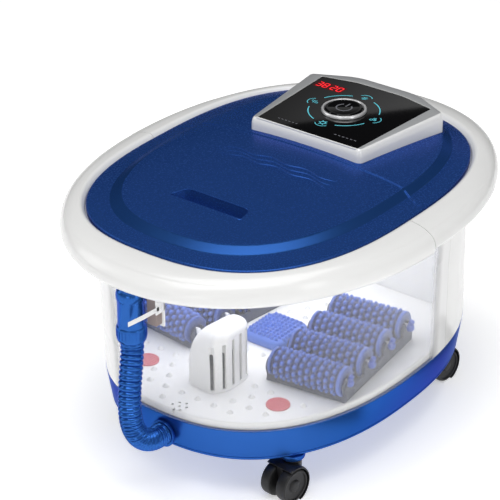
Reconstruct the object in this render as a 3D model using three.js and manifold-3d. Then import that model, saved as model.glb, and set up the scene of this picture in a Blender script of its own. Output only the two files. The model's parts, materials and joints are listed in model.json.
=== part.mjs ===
// Foot spa basin: a wheeled, deep foot bath with a lift-off front lid, a fixed rear cover that carries
// the control pod, massage rollers on the basin floor, a herb box and a drain hose on the front.
// Millimetres, +Z up. The origin is on the ground under the middle of the rim. The sitter's side,
// where the hose hangs, is -Y, and the control pod is at the +Y end.
import * as THREE from "three";
import { mergeVertices } from "three/addons/utils/BufferGeometryUtils.js";
import Module from "manifold-3d";

const wasm = await Module();
wasm.setup();

// ---- Driving dimensions, mm ----
const GAP = 0.3; // left between two pieces that touch
const REACH = 600; // size of the blocks used only to cut
const SHELL_SIDES = 48; // points round each large oval
const WALL = 4; // tub wall
const SKIN = 3; // covers and base skirt
const BASE_BOTTOM_Z = 45;
const PLATE_BOTTOM_Z = 42;
const BASE_TOP_Z = 78.4;
const FLOOR_Z = 86; // top of the basin floor
const WALL_TOP_Z = 222;
const LEDGE_Z = 247; // the lid rests here
const GLASS_TOP_Z = 281.4;

// Ovals: half width a, half length b, squareness n, centre y
const BASE_LOW = { a: 143, b: 191.1, n: 2.37, y: 6.7 };
const BASE_HIGH = { a: 147.5, b: 195.9, n: 2.37, y: 6.7 };
const WALL_LOW = { a: 147.3, b: 195.6, n: 2.37, y: 6.7 };
const WALL_HIGH = { a: 149, b: 197, n: 2.37, y: 2 };
const MOUTH = { a: 141, b: 190, n: 2.55, y: -1 };
const LID_EDGE = { a: 146.9, b: 197.1, n: 2.66, y: -2.85 };
const PLATEAU = { a: 120, b: 174, n: 2.5, y: 3 };
const PLATEAU_FOOT = { a: 127.5, b: 183, n: 2.55, y: 1 };
const RIM_WIDEST = { a: 181.4, b: 240, n: 2.07, y: 0 };
const RIM_LOW = { a: 175.4, b: 226.7, n: 2.1, y: 0 };

const RIM_SPLIT_Y = -14; // where the front rim meets the rear rim
const WALL_SPLIT_Y = 70;
const BULKHEAD_Y = 122; // the basin ends here, and the machine space begins
const SEAM = { edgeX: 170, edgeY: 13, breakX: 112, breakY: 25, middleY: 23.5 };

const POD = { frontX: 65, frontY: 31, rearX: 81, rearY: 151.5, apexY: 180, corner: 7 };
const POD_FLOOR_Z = 254;
const GLASS = { frontX: 58, frontY: 34.3, rearX: 65, rearY: 150.5, apexY: 163 };
const GLASS_THICK = 2.4;
const BUTTON_Y = 96.8;
const BUTTON_R = 18.6;
const BUTTON_TRAVEL = 1.5;
const CHROME_R = 22.3;
const CHROME_HIGH = 3.1;

const ROLLER = { r: 15.3, length: 77, bore: 3.5, z: 104.3, pitch: 39.5, firstY: -60 };
// Each roller bank has its own frame, a little right of the middle line and toed in towards the rear.
const BANK = { x: 77.5, shift: 5, y: -20, toeIn: 7 };
const AXLE_R = 3.2;
const TRAY = { halfX: 42.25, frontY: -67, rearY: 68, plate: 1.7, cheek: 3, top: 104.8 };

const HERB = { x0: -9.5, x1: 33, y0: -145, y1: -95, wall: 2, cupTop: 126, top: 146 };
const PAD = { x: 22.5, y: 25.5, cx: 7, cy: -21.5, high: 10, chamfer: 9 };
const WINDOW = { r: 11.5, high: 1.4, right: { x: 84.5, y: -121.5 }, left: { x: -63, y: -133 } };

const WHEEL_R = 17; // from axle to the flats of the tread
const WHEEL_SIDES = 16;
const WHEEL_OUT = 15;
const WHEEL_IN = 4;
const HOOD_IN = 18;
const HOOD_OUT = 19.6;
const STEM_R = 4;
const STEM_TOP_Z = 56;
const BOSS = { r: 12, bottomZ: 38, tubeR: 6 };
const TRAIL = 12;
const CASTERS = [
  { name: "front_right", x: 103.5, y: -124, heading: -5, trail: -1 },
  { name: "rear_right", x: 95, y: 118, heading: -5, trail: 1 },
  { name: "front_left", x: -103.5, y: -124, heading: -30, trail: 1 },
  { name: "rear_left", x: -95, y: 118, heading: 12, trail: 1 },
];

const HOSE_R = 11;
const SPIGOT = { x: 3, z: 59, bore: 6.5, neck: 9, collar: 13.5 };
const HOSE_ROUTE = [
  [3, -192.7, 59],
  [3, -199, 59],
  [2.5, -206, 60],
  [1.8, -213, 63],
  [0.8, -219.4, 68],
  [-0.4, -224.3, 75],
  [-1.8, -227.3, 83.5],
  [-3.2, -228.2, 93],
  [-5, -227, 104],
  [-7, -224, 116],
  [-9.2, -219.6, 129],
  [-11.4, -215, 141],
  [-13.6, -211, 150.5],
  [-14.9, -209.3, 156.6],
  [-15, -209.2, 161.4],
];
const FITTING = { x: -15, y: -209.2, low: 162.4, high: 221 };
const CLIP = { x: 2, thick: 3, plateZ0: 168, plateZ1: 210, armZ0: 170, armZ1: 179, reachY: -229.5 };

// ---- Finishes ----
const finish = (color, roughness, metalness = 0, opacity = 1) =>
  new THREE.MeshStandardMaterial({ color, roughness, metalness, opacity, transparent: opacity < 1 });
const WHITE = finish(0xececec, 0.3);
const CLEAR = finish(0xf2f4f6, 0.1, 0, 0.35);
const NAVY = finish(0x1c3f8c, 0.2);
const ROYAL = finish(0x2350b0, 0.3);
const HOSE_BLUE = finish(0x1f4fa8, 0.35);
const ROLLER_BLUE = finish(0x4c5fd0, 0.4);
const TRAY_GREY = finish(0x3c4a66, 0.5);
const PAD_BLUE = finish(0x5878d0, 0.45);
const RED = finish(0xd2787c, 0.3);
const SILVER = finish(0xc4c6c9, 0.3, 0.8);
const CHROME = finish(0xe6e6e8, 0.1, 1);
const GLASS_BLACK = finish(0x0a0a0c, 0.08);
const BLACK = finish(0x242428, 0.45);
const STEEL = finish(0x9aa0a6, 0.35, 1);
const BOARD_GREEN = finish(0x1f6b3a, 0.6);
const GREY = finish(0x6c7076, 0.5);

// ---- Solids ----
const root = new THREE.Group();

function solid(geometry) {
  const bare = geometry.clone();
  bare.deleteAttribute("normal");
  bare.deleteAttribute("uv");
  const merged = mergeVertices(bare, 1e-3);
  const mesh = new wasm.Mesh({
    numProp: 3,
    vertProperties: new Float32Array(merged.attributes.position.array),
    triVerts: new Uint32Array(merged.index.array),
  });
  return new wasm.Manifold(mesh);
}

function geometryOf(manifold) {
  const mesh = manifold.getMesh();
  const count = mesh.vertProperties.length / mesh.numProp;
  const positions = new Float32Array(count * 3);
  for (let i = 0; i < count; i++) {
    positions.set(mesh.vertProperties.subarray(i * mesh.numProp, i * mesh.numProp + 3), i * 3);
  }
  const geometry = new THREE.BufferGeometry();
  geometry.setAttribute("position", new THREE.BufferAttribute(positions, 3));
  geometry.setIndex(new THREE.BufferAttribute(new Uint32Array(mesh.triVerts), 1));
  geometry.computeVertexNormals();
  return geometry;
}

function add(name, shape, material, parent = root) {
  const geometry = shape.isBufferGeometry ? shape : geometryOf(shape);
  const mesh = new THREE.Mesh(geometry, material);
  mesh.name = name;
  parent.add(mesh);
  return mesh;
}

function block(x0, x1, y0, y1, z0, z1) {
  const box = new THREE.BoxGeometry(x1 - x0, y1 - y0, z1 - z0);
  return solid(box.translate((x0 + x1) / 2, (y0 + y1) / 2, (z0 + z1) / 2));
}

function cylinderZ(r, x, y, z0, z1, sides = 20) {
  const rod = new THREE.CylinderGeometry(r, r, z1 - z0, sides);
  return solid(rod.rotateX(Math.PI / 2).translate(x, y, (z0 + z1) / 2));
}

function cylinderX(r, x0, x1, y, z, sides = 12) {
  const rod = new THREE.CylinderGeometry(r, r, x1 - x0, sides);
  return solid(rod.rotateZ(-Math.PI / 2).translate((x0 + x1) / 2, y, z));
}

function cylinderY(r, y0, y1, x, z, sides = 16) {
  const rod = new THREE.CylinderGeometry(r, r, y1 - y0, sides);
  return solid(rod.translate(x, (y0 + y1) / 2, z));
}

const inset = (oval, by) => ({ ...oval, a: oval.a - by, b: oval.b - by });

function ring(oval, z, scale = 1) {
  const points = [];
  for (let i = 0; i < SHELL_SIDES; i++) {
    const t = ((i + 0.5) / SHELL_SIDES) * 2 * Math.PI;
    const c = Math.cos(t);
    const s = Math.sin(t);
    const x = oval.a * scale * Math.sign(c) * Math.abs(c) ** (2 / oval.n);
    const y = oval.b * scale * Math.sign(s) * Math.abs(s) ** (2 / oval.n) + oval.y;
    points.push([x, y, z]);
  }
  return points;
}

// Joins rings of points in order. An open loft gets a cap at each end; a closed one joins its last ring to its first.
function loft(rings, closed = false) {
  const sides = rings[0].length;
  const positions = rings.flat(2);
  const index = [];
  const last = closed ? rings.length : rings.length - 1;
  for (let r = 0; r < last; r++) {
    const low = r * sides;
    const high = ((r + 1) % rings.length) * sides;
    for (let i = 0; i < sides; i++) {
      const j = (i + 1) % sides;
      index.push(low + i, low + j, high + j, low + i, high + j, high + i);
    }
  }
  if (!closed) {
    for (const [r, flip] of [[0, true], [rings.length - 1, false]]) {
      const centre = positions.length / 3;
      const mean = [0, 1, 2].map((k) => rings[r].reduce((sum, p) => sum + p[k], 0) / sides);
      positions.push(...mean);
      for (let i = 0; i < sides; i++) {
        const a = r * sides + i;
        const b = r * sides + ((i + 1) % sides);
        index.push(...(flip ? [b, a, centre] : [a, b, centre]));
      }
    }
  }
  const geometry = new THREE.BufferGeometry();
  geometry.setAttribute("position", new THREE.Float32BufferAttribute(positions, 3));
  geometry.setIndex(index);
  return solid(geometry);
}

function prism(points, z0, z1) {
  const shape = new THREE.Shape(points.map(([x, y]) => new THREE.Vector2(x, y)));
  const body = new THREE.ExtrudeGeometry(shape, { depth: z1 - z0, bevelEnabled: false });
  return solid(body.translate(0, 0, z0));
}

const frontOf = (y) => block(-REACH, REACH, -REACH, y, -REACH, REACH);
const rearOf = (y) => block(-REACH, REACH, y, REACH, -REACH, REACH);

// ---- Base ----
function baseSkirt() {
  const skirt = loft(
    [
      ring(BASE_LOW, BASE_BOTTOM_Z),
      ring(BASE_HIGH, BASE_TOP_Z),
      ring(inset(BASE_HIGH, SKIN), BASE_TOP_Z),
      ring(inset(BASE_LOW, SKIN), BASE_BOTTOM_Z),
    ],
    true,
  );
  return skirt.subtract(cylinderY(SPIGOT.neck + GAP, -220, -170, SPIGOT.x, SPIGOT.z));
}

function basePlate() {
  const top = BASE_BOTTOM_Z - GAP;
  const outline = inset(BASE_LOW, 1.5);
  let plate = loft([ring(outline, PLATE_BOTTOM_Z), ring(outline, top)]);
  for (const { x, y } of CASTERS) {
    plate = plate.add(cylinderZ(BOSS.r, x, y, BOSS.bottomZ, top));
    plate = plate.add(cylinderZ(BOSS.tubeR, x, y, top - 1, STEM_TOP_Z + SKIN));
  }
  plate = plate.add(block(-35, 35, -20, 30, PLATE_BOTTOM_Z - 2, top));
  for (const { x, y } of CASTERS) {
    plate = plate.subtract(cylinderZ(STEM_R + GAP, x, y, 0, STEM_TOP_Z + GAP));
  }
  return plate;
}

// ---- Tub ----
function tubWall() {
  return loft(
    [
      ring(WALL_LOW, BASE_TOP_Z + GAP),
      ring(WALL_HIGH, WALL_TOP_Z),
      ring(inset(WALL_HIGH, WALL), WALL_TOP_Z),
      ring(inset(WALL_LOW, WALL), BASE_TOP_Z + GAP),
    ],
    true,
  );
}

function inletOpening() {
  return block(26, 58, 170, 230, 98, 122);
}

function floorPan() {
  const outline = inset(WALL_LOW, WALL + 0.6);
  let floor = loft([ring(outline, BASE_TOP_Z + GAP), ring(outline, FLOOR_Z)]);
  floor = floor.subtract(block(-30, 30, 150, 180, 0, 200));
  return floor;
}

function bulkhead() {
  const prismInside = loft([
    ring(inset(WALL_LOW, WALL + 0.6), FLOOR_Z + GAP),
    ring(inset(WALL_HIGH, WALL + 0.6), WALL_TOP_Z),
  ]);
  return prismInside.intersect(block(-REACH, REACH, BULKHEAD_Y, BULKHEAD_Y + 3, 0, REACH));
}

function rim() {
  return loft(
    [
      ring({ a: 148.4, b: 198.6, n: 2.66, y: -2.85 }, 251),
      ring({ a: 150.6, b: 201, n: 2.6, y: -2.6 }, LEDGE_Z),
      ring(MOUTH, LEDGE_Z),
      ring(MOUTH, WALL_TOP_Z + 1.5),
      ring({ a: 156, b: 206, n: 2.3, y: 1 }, WALL_TOP_Z + GAP),
      ring(RIM_LOW, 226),
      ring({ a: 180.2, b: 236.6, n: 2.08, y: 0 }, 230),
      ring(RIM_WIDEST, 236.4),
      ring({ a: 178, b: 235.6, n: 2.12, y: -0.4 }, 244.5),
      ring({ a: 167, b: 221.5, n: 2.3, y: -1.4 }, 251.5),
      ring({ a: 153, b: 203.8, n: 2.6, y: -2.5 }, 254.8),
    ],
    true,
  );
}

// ---- Lid and rear cover: one shell, parted along a bowed seam ----
function coverShell() {
  const crown = [
    ring(PLATEAU, 261.6),
    ring(PLATEAU, 266.2, 0.7),
    ring(PLATEAU, 269.4, 0.35),
  ];
  const underCrown = [
    ring(PLATEAU, 266.4, 0.33),
    ring(PLATEAU, 263.2, 0.68),
    ring(inset(PLATEAU, 2), 258.6),
  ];
  return loft([
    ...underCrown,
    ring(inset(LID_EDGE, 16), 254.4),
    ring(inset(LID_EDGE, SKIN), 251),
    ring(inset(LID_EDGE, SKIN), LEDGE_Z + GAP),
    ring(LID_EDGE, LEDGE_Z + GAP),
    ring(LID_EDGE, 252.6),
    ring(inset(LID_EDGE, 2), 254),
    ring(PLATEAU_FOOT, 257.2),
    ...crown,
  ]);
}

function seamSide(front, shift) {
  const edge = [
    [-SEAM.edgeX, SEAM.edgeY + shift],
    [-SEAM.breakX, SEAM.breakY + shift],
    [-SEAM.breakX / 2, SEAM.middleY + shift],
    [SEAM.breakX / 2, SEAM.middleY + shift],
    [SEAM.breakX, SEAM.breakY + shift],
    [SEAM.edgeX, SEAM.edgeY + shift],
  ];
  const far = front ? -REACH : REACH;
  const outline = [[-SEAM.edgeX, far], ...edge, [SEAM.edgeX, far]];
  return prism(front ? outline : outline.reverse(), 200, 320);
}

function frontLid() {
  const cup = prism([[-46, -126], [46, -126], [44, -98], [-44, -98]], 251, 264.4);
  const slot = prism([[-41, -122], [41, -122], [39, -102], [-39, -102]], 254, 300);
  return coverShell().add(cup).subtract(slot).intersect(seamSide(true, -GAP));
}

function podOutline(shape, grow = 0) {
  const { frontX, frontY, rearX, rearY, apexY } = shape;
  const c = shape.corner ?? 0;
  const half = [
    [frontX - c + grow, frontY - grow],
    [frontX + c * 0.18 + grow, frontY + c - grow],
    [rearX + grow, rearY - c],
    [rearX - c * 0.6 + grow, rearY + c * 0.7 + grow],
    [0, apexY + grow],
  ];
  const right = c ? half : [half[0], half[2], half[4]];
  const left = right.slice(0, -1).map(([x, y]) => [-x, y]).reverse();
  return [...right, ...left];
}

function rearCover() {
  const hole = prism(podOutline(POD, GAP), 200, 320);
  return coverShell().subtract(hole).intersect(seamSide(false, GAP));
}

// ---- Control pod ----
function podBezel() {
  const seat = podOutline(GLASS, GAP);
  const inside = podOutline(GLASS, -2.5);
  let bezel = prism(podOutline(POD), POD_FLOOR_Z, GLASS_TOP_Z);
  bezel = bezel.subtract(prism(inside, POD_FLOOR_Z + SKIN, 320));
  return bezel.subtract(prism(seat, GLASS_TOP_Z - GLASS_THICK - GAP, 320));
}

function podGlass() {
  const plate = prism(podOutline(GLASS), GLASS_TOP_Z - GLASS_THICK, GLASS_TOP_Z - 0.1);
  return plate.subtract(cylinderZ(6.8, 0, BUTTON_Y, 200, 320));
}

function controlRing() {
  const low = GLASS_TOP_Z + GAP;
  const outer = cylinderZ(CHROME_R, 0, BUTTON_Y, low, low + CHROME_HIGH, 32);
  return outer.subtract(cylinderZ(BUTTON_R + 0.5, 0, BUTTON_Y, 200, 320, 32));
}

function powerButton() {
  const capBottom = GLASS_TOP_Z + GAP + BUTTON_TRAVEL + 0.1;
  const cap = cylinderZ(BUTTON_R, 0, BUTTON_Y, capBottom, capBottom + 1.6, 32);
  return cap.add(cylinderZ(6, 0, BUTTON_Y, 272, capBottom + 1, 12));
}

function controlPod() {
  add("pod_bezel", podBezel(), SILVER);
  add("pod_glass", podGlass(), GLASS_BLACK);
  add("control_ring", controlRing(), CHROME);
  add("power_button", powerButton(), GLASS_BLACK);
  add("control_board", block(-46, 46, 52, 142, 258, 259.8), BOARD_GREEN);
  add("button_switch", block(-6, 6, BUTTON_Y - 6, BUTTON_Y + 6, 260.1, 269.5), BLACK);
  add("display_module", block(-52, -12, 124, 144, 268, 278), BLACK);
}

// ---- Machine space ----
function circulationPump() {
  const motor = cylinderZ(19, -50, 156, FLOOR_Z + 24, FLOOR_Z + 78);
  const volute = cylinderZ(25, -50, 156, FLOOR_Z + GAP, FLOOR_Z + 25);
  return motor.add(volute);
}

function machines() {
  add("circulation_pump", circulationPump(), GREY);
  add("air_blower", cylinderY(21, 130, 166, 40, 160, 20), BLACK);
  add("power_module", block(-24, 74, 132, 172, 182, 216), GREY);
  add("heater_tube", cylinderX(10, -85, 85, 60, 64), STEEL);
  add("air_manifold", block(-60, 60, -70, -52, 50, 66), GREY);
  const inlet = block(26 + GAP, 58 - GAP, 182, 203, 98 + GAP, 122 - GAP);
  add("power_inlet", inlet.subtract(block(31, 53, 187, 230, 103, 117)), BLACK);
}

// ---- Basin fittings ----
function rollerTray() {
  const { halfX, frontY, rearY, plate, cheek, top } = TRAY;
  const low = FLOOR_Z + GAP;
  let tray = block(-halfX, halfX, frontY, rearY, low, low + plate);
  tray = tray.add(block(-halfX, -halfX + cheek, frontY, rearY, low, top));
  tray = tray.add(block(halfX - cheek, halfX, frontY, rearY, low, top));
  for (let i = 0; i < 4; i++) {
    const y = ROLLER.firstY + i * ROLLER.pitch;
    tray = tray.subtract(block(-halfX - 1, halfX + 1, y - AXLE_R - GAP, y + AXLE_R + GAP, ROLLER.z - AXLE_R - GAP, 200));
  }
  return tray;
}

function roller(y) {
  const half = ROLLER.length / 2;
  const sleeve = cylinderX(ROLLER.r, -half, half, y, ROLLER.z, 14);
  return sleeve.subtract(cylinderX(ROLLER.bore, -half - 1, half + 1, y, ROLLER.z));
}

function rollerAxle(side, y) {
  const near = -side * (TRAY.halfX - 0.4);
  const far = side * (TRAY.halfX + 1.2);
  return cylinderX(AXLE_R, Math.min(near, far), Math.max(near, far), y, ROLLER.z);
}

function rollerBank(side, label) {
  const bank = new THREE.Group();
  bank.position.set(side * BANK.x + BANK.shift, BANK.y, 0);
  bank.rotation.z = side * THREE.MathUtils.degToRad(BANK.toeIn);
  root.add(bank);
  add(`roller_tray_${label}`, rollerTray(), TRAY_GREY, bank);
  for (let i = 0; i < 4; i++) {
    const y = ROLLER.firstY + i * ROLLER.pitch;
    add(`roller_${label}_${i + 1}`, roller(y), ROLLER_BLUE, bank);
    add(`axle_${label}_${i + 1}`, rollerAxle(side, y), WHITE, bank);
  }
}

function centrePad() {
  const { x, y, cx, cy, high, chamfer } = PAD;
  const corners = [
    [x - chamfer, -y], [x, -y + chamfer], [x, y - chamfer], [x - chamfer, y],
    [-x + chamfer, y], [-x, y - chamfer], [-x, -y + chamfer], [-x + chamfer, -y],
  ].map(([dx, dy]) => [cx + dx, cy + dy]);
  return prism(corners, FLOOR_Z + GAP, FLOOR_Z + high);
}

function herbBox() {
  const { x0, x1, y0, y1, wall, cupTop } = HERB;
  let cup = block(x0, x1, y0, y1, FLOOR_Z + GAP, cupTop);
  cup = cup.subtract(block(x0 + wall, x1 - wall, y0 + wall, y1 - wall, FLOOR_Z + 2 + GAP, 300));
  for (let i = 0; i < 5; i++) {
    const y = y0 + 8 + i * 8.5;
    cup = cup.subtract(block(x1 - wall - 1, x1 + 1, y - 1.5, y + 1.5, FLOOR_Z + 5, cupTop - 4));
  }
  return cup;
}

function herbLid() {
  const { x0, x1, y0, y1, cupTop, top } = HERB;
  const low = cupTop + GAP;
  const profile = new THREE.Shape();
  profile.moveTo(x0, low);
  profile.lineTo(x1, low);
  profile.lineTo(x1, low + 6);
  profile.quadraticCurveTo(x1 - 1, top, x1 - 14, top);
  profile.quadraticCurveTo(x0 + 4, top - 2, x0, low + 3);
  profile.closePath();
  const dome = new THREE.ExtrudeGeometry(profile, { depth: y1 - y0, bevelEnabled: false, curveSegments: 6 });
  dome.rotateX(Math.PI / 2);
  dome.translate(0, y1, 0);
  return solid(dome);
}

function basinFittings() {
  rollerBank(1, "right");
  rollerBank(-1, "left");
  add("centre_pad", centrePad(), PAD_BLUE);
  for (const label of ["right", "left"]) {
    const low = FLOOR_Z + GAP;
    const disc = cylinderZ(WINDOW.r, WINDOW[label].x, WINDOW[label].y, low, low + WINDOW.high, 24);
    add(`heat_window_${label}`, disc, RED);
  }
  add("herb_box", herbBox(), WHITE);
  add("herb_box_lid", herbLid(), WHITE);
}

// ---- Drain ----
function drainSpigot() {
  const { x, z, bore, neck, collar } = SPIGOT;
  const tube = cylinderY(neck, -192.4, -176, x, z).add(cylinderY(collar, -192.4, -189.6, x, z, 24));
  return tube.subtract(cylinderY(bore, -210, -150, x, z));
}

function drainHose() {
  const points = HOSE_ROUTE.map((p) => new THREE.Vector3(...p));
  const path = new THREE.CatmullRomCurve3(points);
  const section = new THREE.Shape();
  section.absarc(0, 0, HOSE_R, 0, 2 * Math.PI, false);
  return new THREE.ExtrudeGeometry(section, {
    steps: 22,
    bevelEnabled: false,
    extrudePath: path,
    curveSegments: 6,
  });
}

function hoseFitting() {
  const { low, high } = FITTING;
  const profile = [
    [0, low], [13.8, low], [14.6, low + 2], [14.6, low + 15], [13.4, low + 17],
    [13.4, high - 16], [14, high - 13], [12, high], [0, high],
  ].map(([r, z]) => new THREE.Vector2(r, z));
  const plug = new THREE.LatheGeometry(profile, 20);
  return solid(plug.rotateX(Math.PI / 2).translate(FITTING.x, FITTING.y, 0));
}

function hoseClip() {
  const { x, thick, plateZ0, plateZ1, armZ0, armZ1, reachY } = CLIP;
  const plate = block(x, x + 12, -198, -195.1, plateZ0, plateZ1);
  const arm = prism(
    [
      [x, -196], [x, reachY + 8], [x - 8, reachY + thick], [x - 20, reachY + thick],
      [x - 20, reachY], [x - 6, reachY], [x + thick, reachY + 9], [x + thick, -196],
    ].reverse(),
    armZ0,
    armZ1,
  );
  return plate.add(arm);
}

// ---- Casters ----
function arcSlab(r0, r1, width) {
  const shape = new THREE.Shape();
  shape.absarc(0, 0, r1, -0.15, Math.PI + 0.15, false);
  shape.absarc(0, 0, r0, Math.PI + 0.15, -0.15, true);
  shape.closePath();
  const slab = new THREE.ExtrudeGeometry(shape, { depth: width, bevelEnabled: false, curveSegments: 12 });
  slab.translate(0, 0, -width / 2);
  slab.rotateX(Math.PI / 2);
  slab.rotateZ(Math.PI / 2);
  return solid(slab);
}

function casterHousing(trail) {
  const stemY = -trail * TRAIL;
  let body = arcSlab(HOOD_IN, HOOD_OUT, 2 * WHEEL_OUT + 1);
  body = body.add(arcSlab(7, HOOD_IN + 0.5, 2 * (WHEEL_IN - 0.6)));
  body = body.add(cylinderZ(8, 0, stemY, 8, BOSS.bottomZ - WHEEL_R - GAP, 16));
  for (const side of [-1, 1]) {
    const inner = side * (WHEEL_IN - 0.6);
    const outer = side * (WHEEL_OUT + 1);
    const sweep = cylinderX(HOOD_IN, Math.min(inner, outer), Math.max(inner, outer), 0, 0, 24);
    body = body.subtract(sweep);
  }
  return body.add(cylinderZ(STEM_R, 0, stemY, 14, STEM_TOP_Z - WHEEL_R, 12));
}

function casterWheels() {
  const r = WHEEL_R / Math.cos(Math.PI / WHEEL_SIDES);
  const profile = [
    [0, -WHEEL_OUT], [r - 2, -WHEEL_OUT], [r, -WHEEL_OUT + 2], [r, -WHEEL_IN], [5, -WHEEL_IN],
    [5, WHEEL_IN], [r, WHEEL_IN], [r, WHEEL_OUT - 2], [r - 2, WHEEL_OUT], [0, WHEEL_OUT],
  ].map(([radius, x]) => new THREE.Vector2(radius, x));
  const pair = new THREE.LatheGeometry(profile, WHEEL_SIDES, Math.PI / WHEEL_SIDES);
  return solid(pair.rotateZ(-Math.PI / 2));
}

function casters() {
  for (const { name, x, y, heading, trail } of CASTERS) {
    const turn = THREE.MathUtils.degToRad(heading);
    const frame = new THREE.Group();
    frame.rotation.z = turn;
    frame.position.set(x - Math.sin(turn) * TRAIL * trail, y + Math.cos(turn) * TRAIL * trail, WHEEL_R);
    add(`caster_housing_${name}`, casterHousing(trail), BLACK, frame);
    add(`caster_wheels_${name}`, casterWheels(), BLACK, frame);
    root.add(frame);
  }
}

// ---- Assembly ----
add("base_skirt", baseSkirt(), ROYAL);
add("base_plate", basePlate(), ROYAL);
add("tub_wall_front", tubWall().intersect(frontOf(WALL_SPLIT_Y - GAP)), CLEAR);
add("tub_wall_rear", tubWall().intersect(rearOf(WALL_SPLIT_Y)).subtract(inletOpening()), WHITE);
add("floor_pan", floorPan(), WHITE);
add("bulkhead", bulkhead(), WHITE);
add("front_rim", rim().intersect(frontOf(RIM_SPLIT_Y - GAP)), WHITE);
add("rear_rim", rim().intersect(rearOf(RIM_SPLIT_Y)), WHITE);
add("front_lid", frontLid(), NAVY);
add("rear_cover", rearCover(), NAVY);
controlPod();
machines();
basinFittings();
add("drain_spigot", drainSpigot(), ROYAL);
add("drain_hose", drainHose(), HOSE_BLUE);
add("hose_fitting", hoseFitting(), ROYAL);
add("hose_clip", hoseClip(), WHITE);
casters();

export default root;
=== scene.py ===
"""Foot spa basin, the visual model.

A deep wheeled foot bath: a see-through tub on a blue base, a white rim, a lift-off blue lid, a rear
cover with the control pod, knobbed rollers, a nubbed pad, a herb box, a drain hose and four twin-wheel
casters. Sizes are in millimetres in the code and become metres where a mesh is made. +Z is up, and the
sitter's side is -Y.
"""

from __future__ import annotations

import json
import logging
import math
from dataclasses import dataclass, field, replace
from enum import Enum
from typing import Callable, Sequence

import bmesh
import bpy
from mathutils import Matrix, Vector

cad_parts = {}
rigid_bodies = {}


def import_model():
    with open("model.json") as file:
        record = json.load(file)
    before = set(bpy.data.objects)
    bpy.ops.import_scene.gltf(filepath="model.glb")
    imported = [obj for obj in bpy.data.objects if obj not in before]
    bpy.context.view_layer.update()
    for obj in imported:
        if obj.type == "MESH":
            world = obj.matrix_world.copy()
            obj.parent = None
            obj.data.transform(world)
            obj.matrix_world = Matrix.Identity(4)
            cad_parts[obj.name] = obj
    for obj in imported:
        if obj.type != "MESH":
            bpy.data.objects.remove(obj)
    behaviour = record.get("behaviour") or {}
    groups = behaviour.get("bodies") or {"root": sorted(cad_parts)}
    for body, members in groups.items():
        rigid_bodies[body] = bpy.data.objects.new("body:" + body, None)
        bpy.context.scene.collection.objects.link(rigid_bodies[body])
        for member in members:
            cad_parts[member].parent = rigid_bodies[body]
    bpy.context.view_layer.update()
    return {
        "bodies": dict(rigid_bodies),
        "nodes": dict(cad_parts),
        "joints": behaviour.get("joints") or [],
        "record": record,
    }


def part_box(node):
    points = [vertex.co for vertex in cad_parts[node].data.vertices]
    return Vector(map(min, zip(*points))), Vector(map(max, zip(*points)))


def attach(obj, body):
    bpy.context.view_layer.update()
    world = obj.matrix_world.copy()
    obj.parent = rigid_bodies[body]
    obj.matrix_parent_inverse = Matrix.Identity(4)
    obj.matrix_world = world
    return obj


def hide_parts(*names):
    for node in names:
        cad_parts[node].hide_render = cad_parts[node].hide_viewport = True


LOG = logging.getLogger("foot_spa")
MM = 0.001
SIDES = 160  # points round each large oval
SHARP = math.radians(32)  # a crease sharper than this stays an edge
WHOLE = 2 * math.pi
FLOOR_TOP = 86.0
SEAT = 86.3  # where the fittings stand on the floor, with a fine gap

Points = list[Vector]
Flat = list[tuple[float, float]]
Mesh = bmesh.types.BMesh


class Cut(Enum):
    """What a carving tool does to the piece it meets."""

    TAKE = "DIFFERENCE"
    KEEP = "INTERSECT"


class Hand(Enum):
    """The side of the basin seen by the sitter."""

    RIGHT = 1
    LEFT = -1

    @property
    def label(self) -> str:
        """The side's name as the nodes use it."""
        return self.name.lower()


# ---------------------------------------------------------------- finishes


def linear(colour: str) -> tuple[float, float, float, float]:
    """Turns an sRGB hex colour into linear light.

    Args:
        colour: six hex digits after a #.

    Returns:
        Red, green, blue and an alpha of 1.
    """
    parts = [int(colour[i : i + 2], 16) / 255 for i in (1, 3, 5)]
    light = [p / 12.92 if p <= 0.04045 else ((p + 0.055) / 1.055) ** 2.4 for p in parts]
    return (*light, 1.0)


def add_node(
    tree: bpy.types.NodeTree, kind: str, inputs: dict | None = None, **settings
) -> bpy.types.Node:
    """Adds a shader node with its settings, and sets or links its inputs.

    Args:
        tree: the node tree.
        kind: the node's type name.
        inputs: a value or an output socket for each input, by name or number.
        settings: the node's own properties.

    Returns:
        The node.
    """
    node = tree.nodes.new(kind)
    for key, value in settings.items():
        setattr(node, key, value)
    for key, value in (inputs or {}).items():
        if isinstance(value, bpy.types.NodeSocket):
            tree.links.new(value, node.inputs[key])
        else:
            node.inputs[key].default_value = value
    return node


def per_metre(size: float) -> float:
    """The pattern scale that gives marks of this size in millimetres."""
    return 1 / (size * MM)


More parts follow.
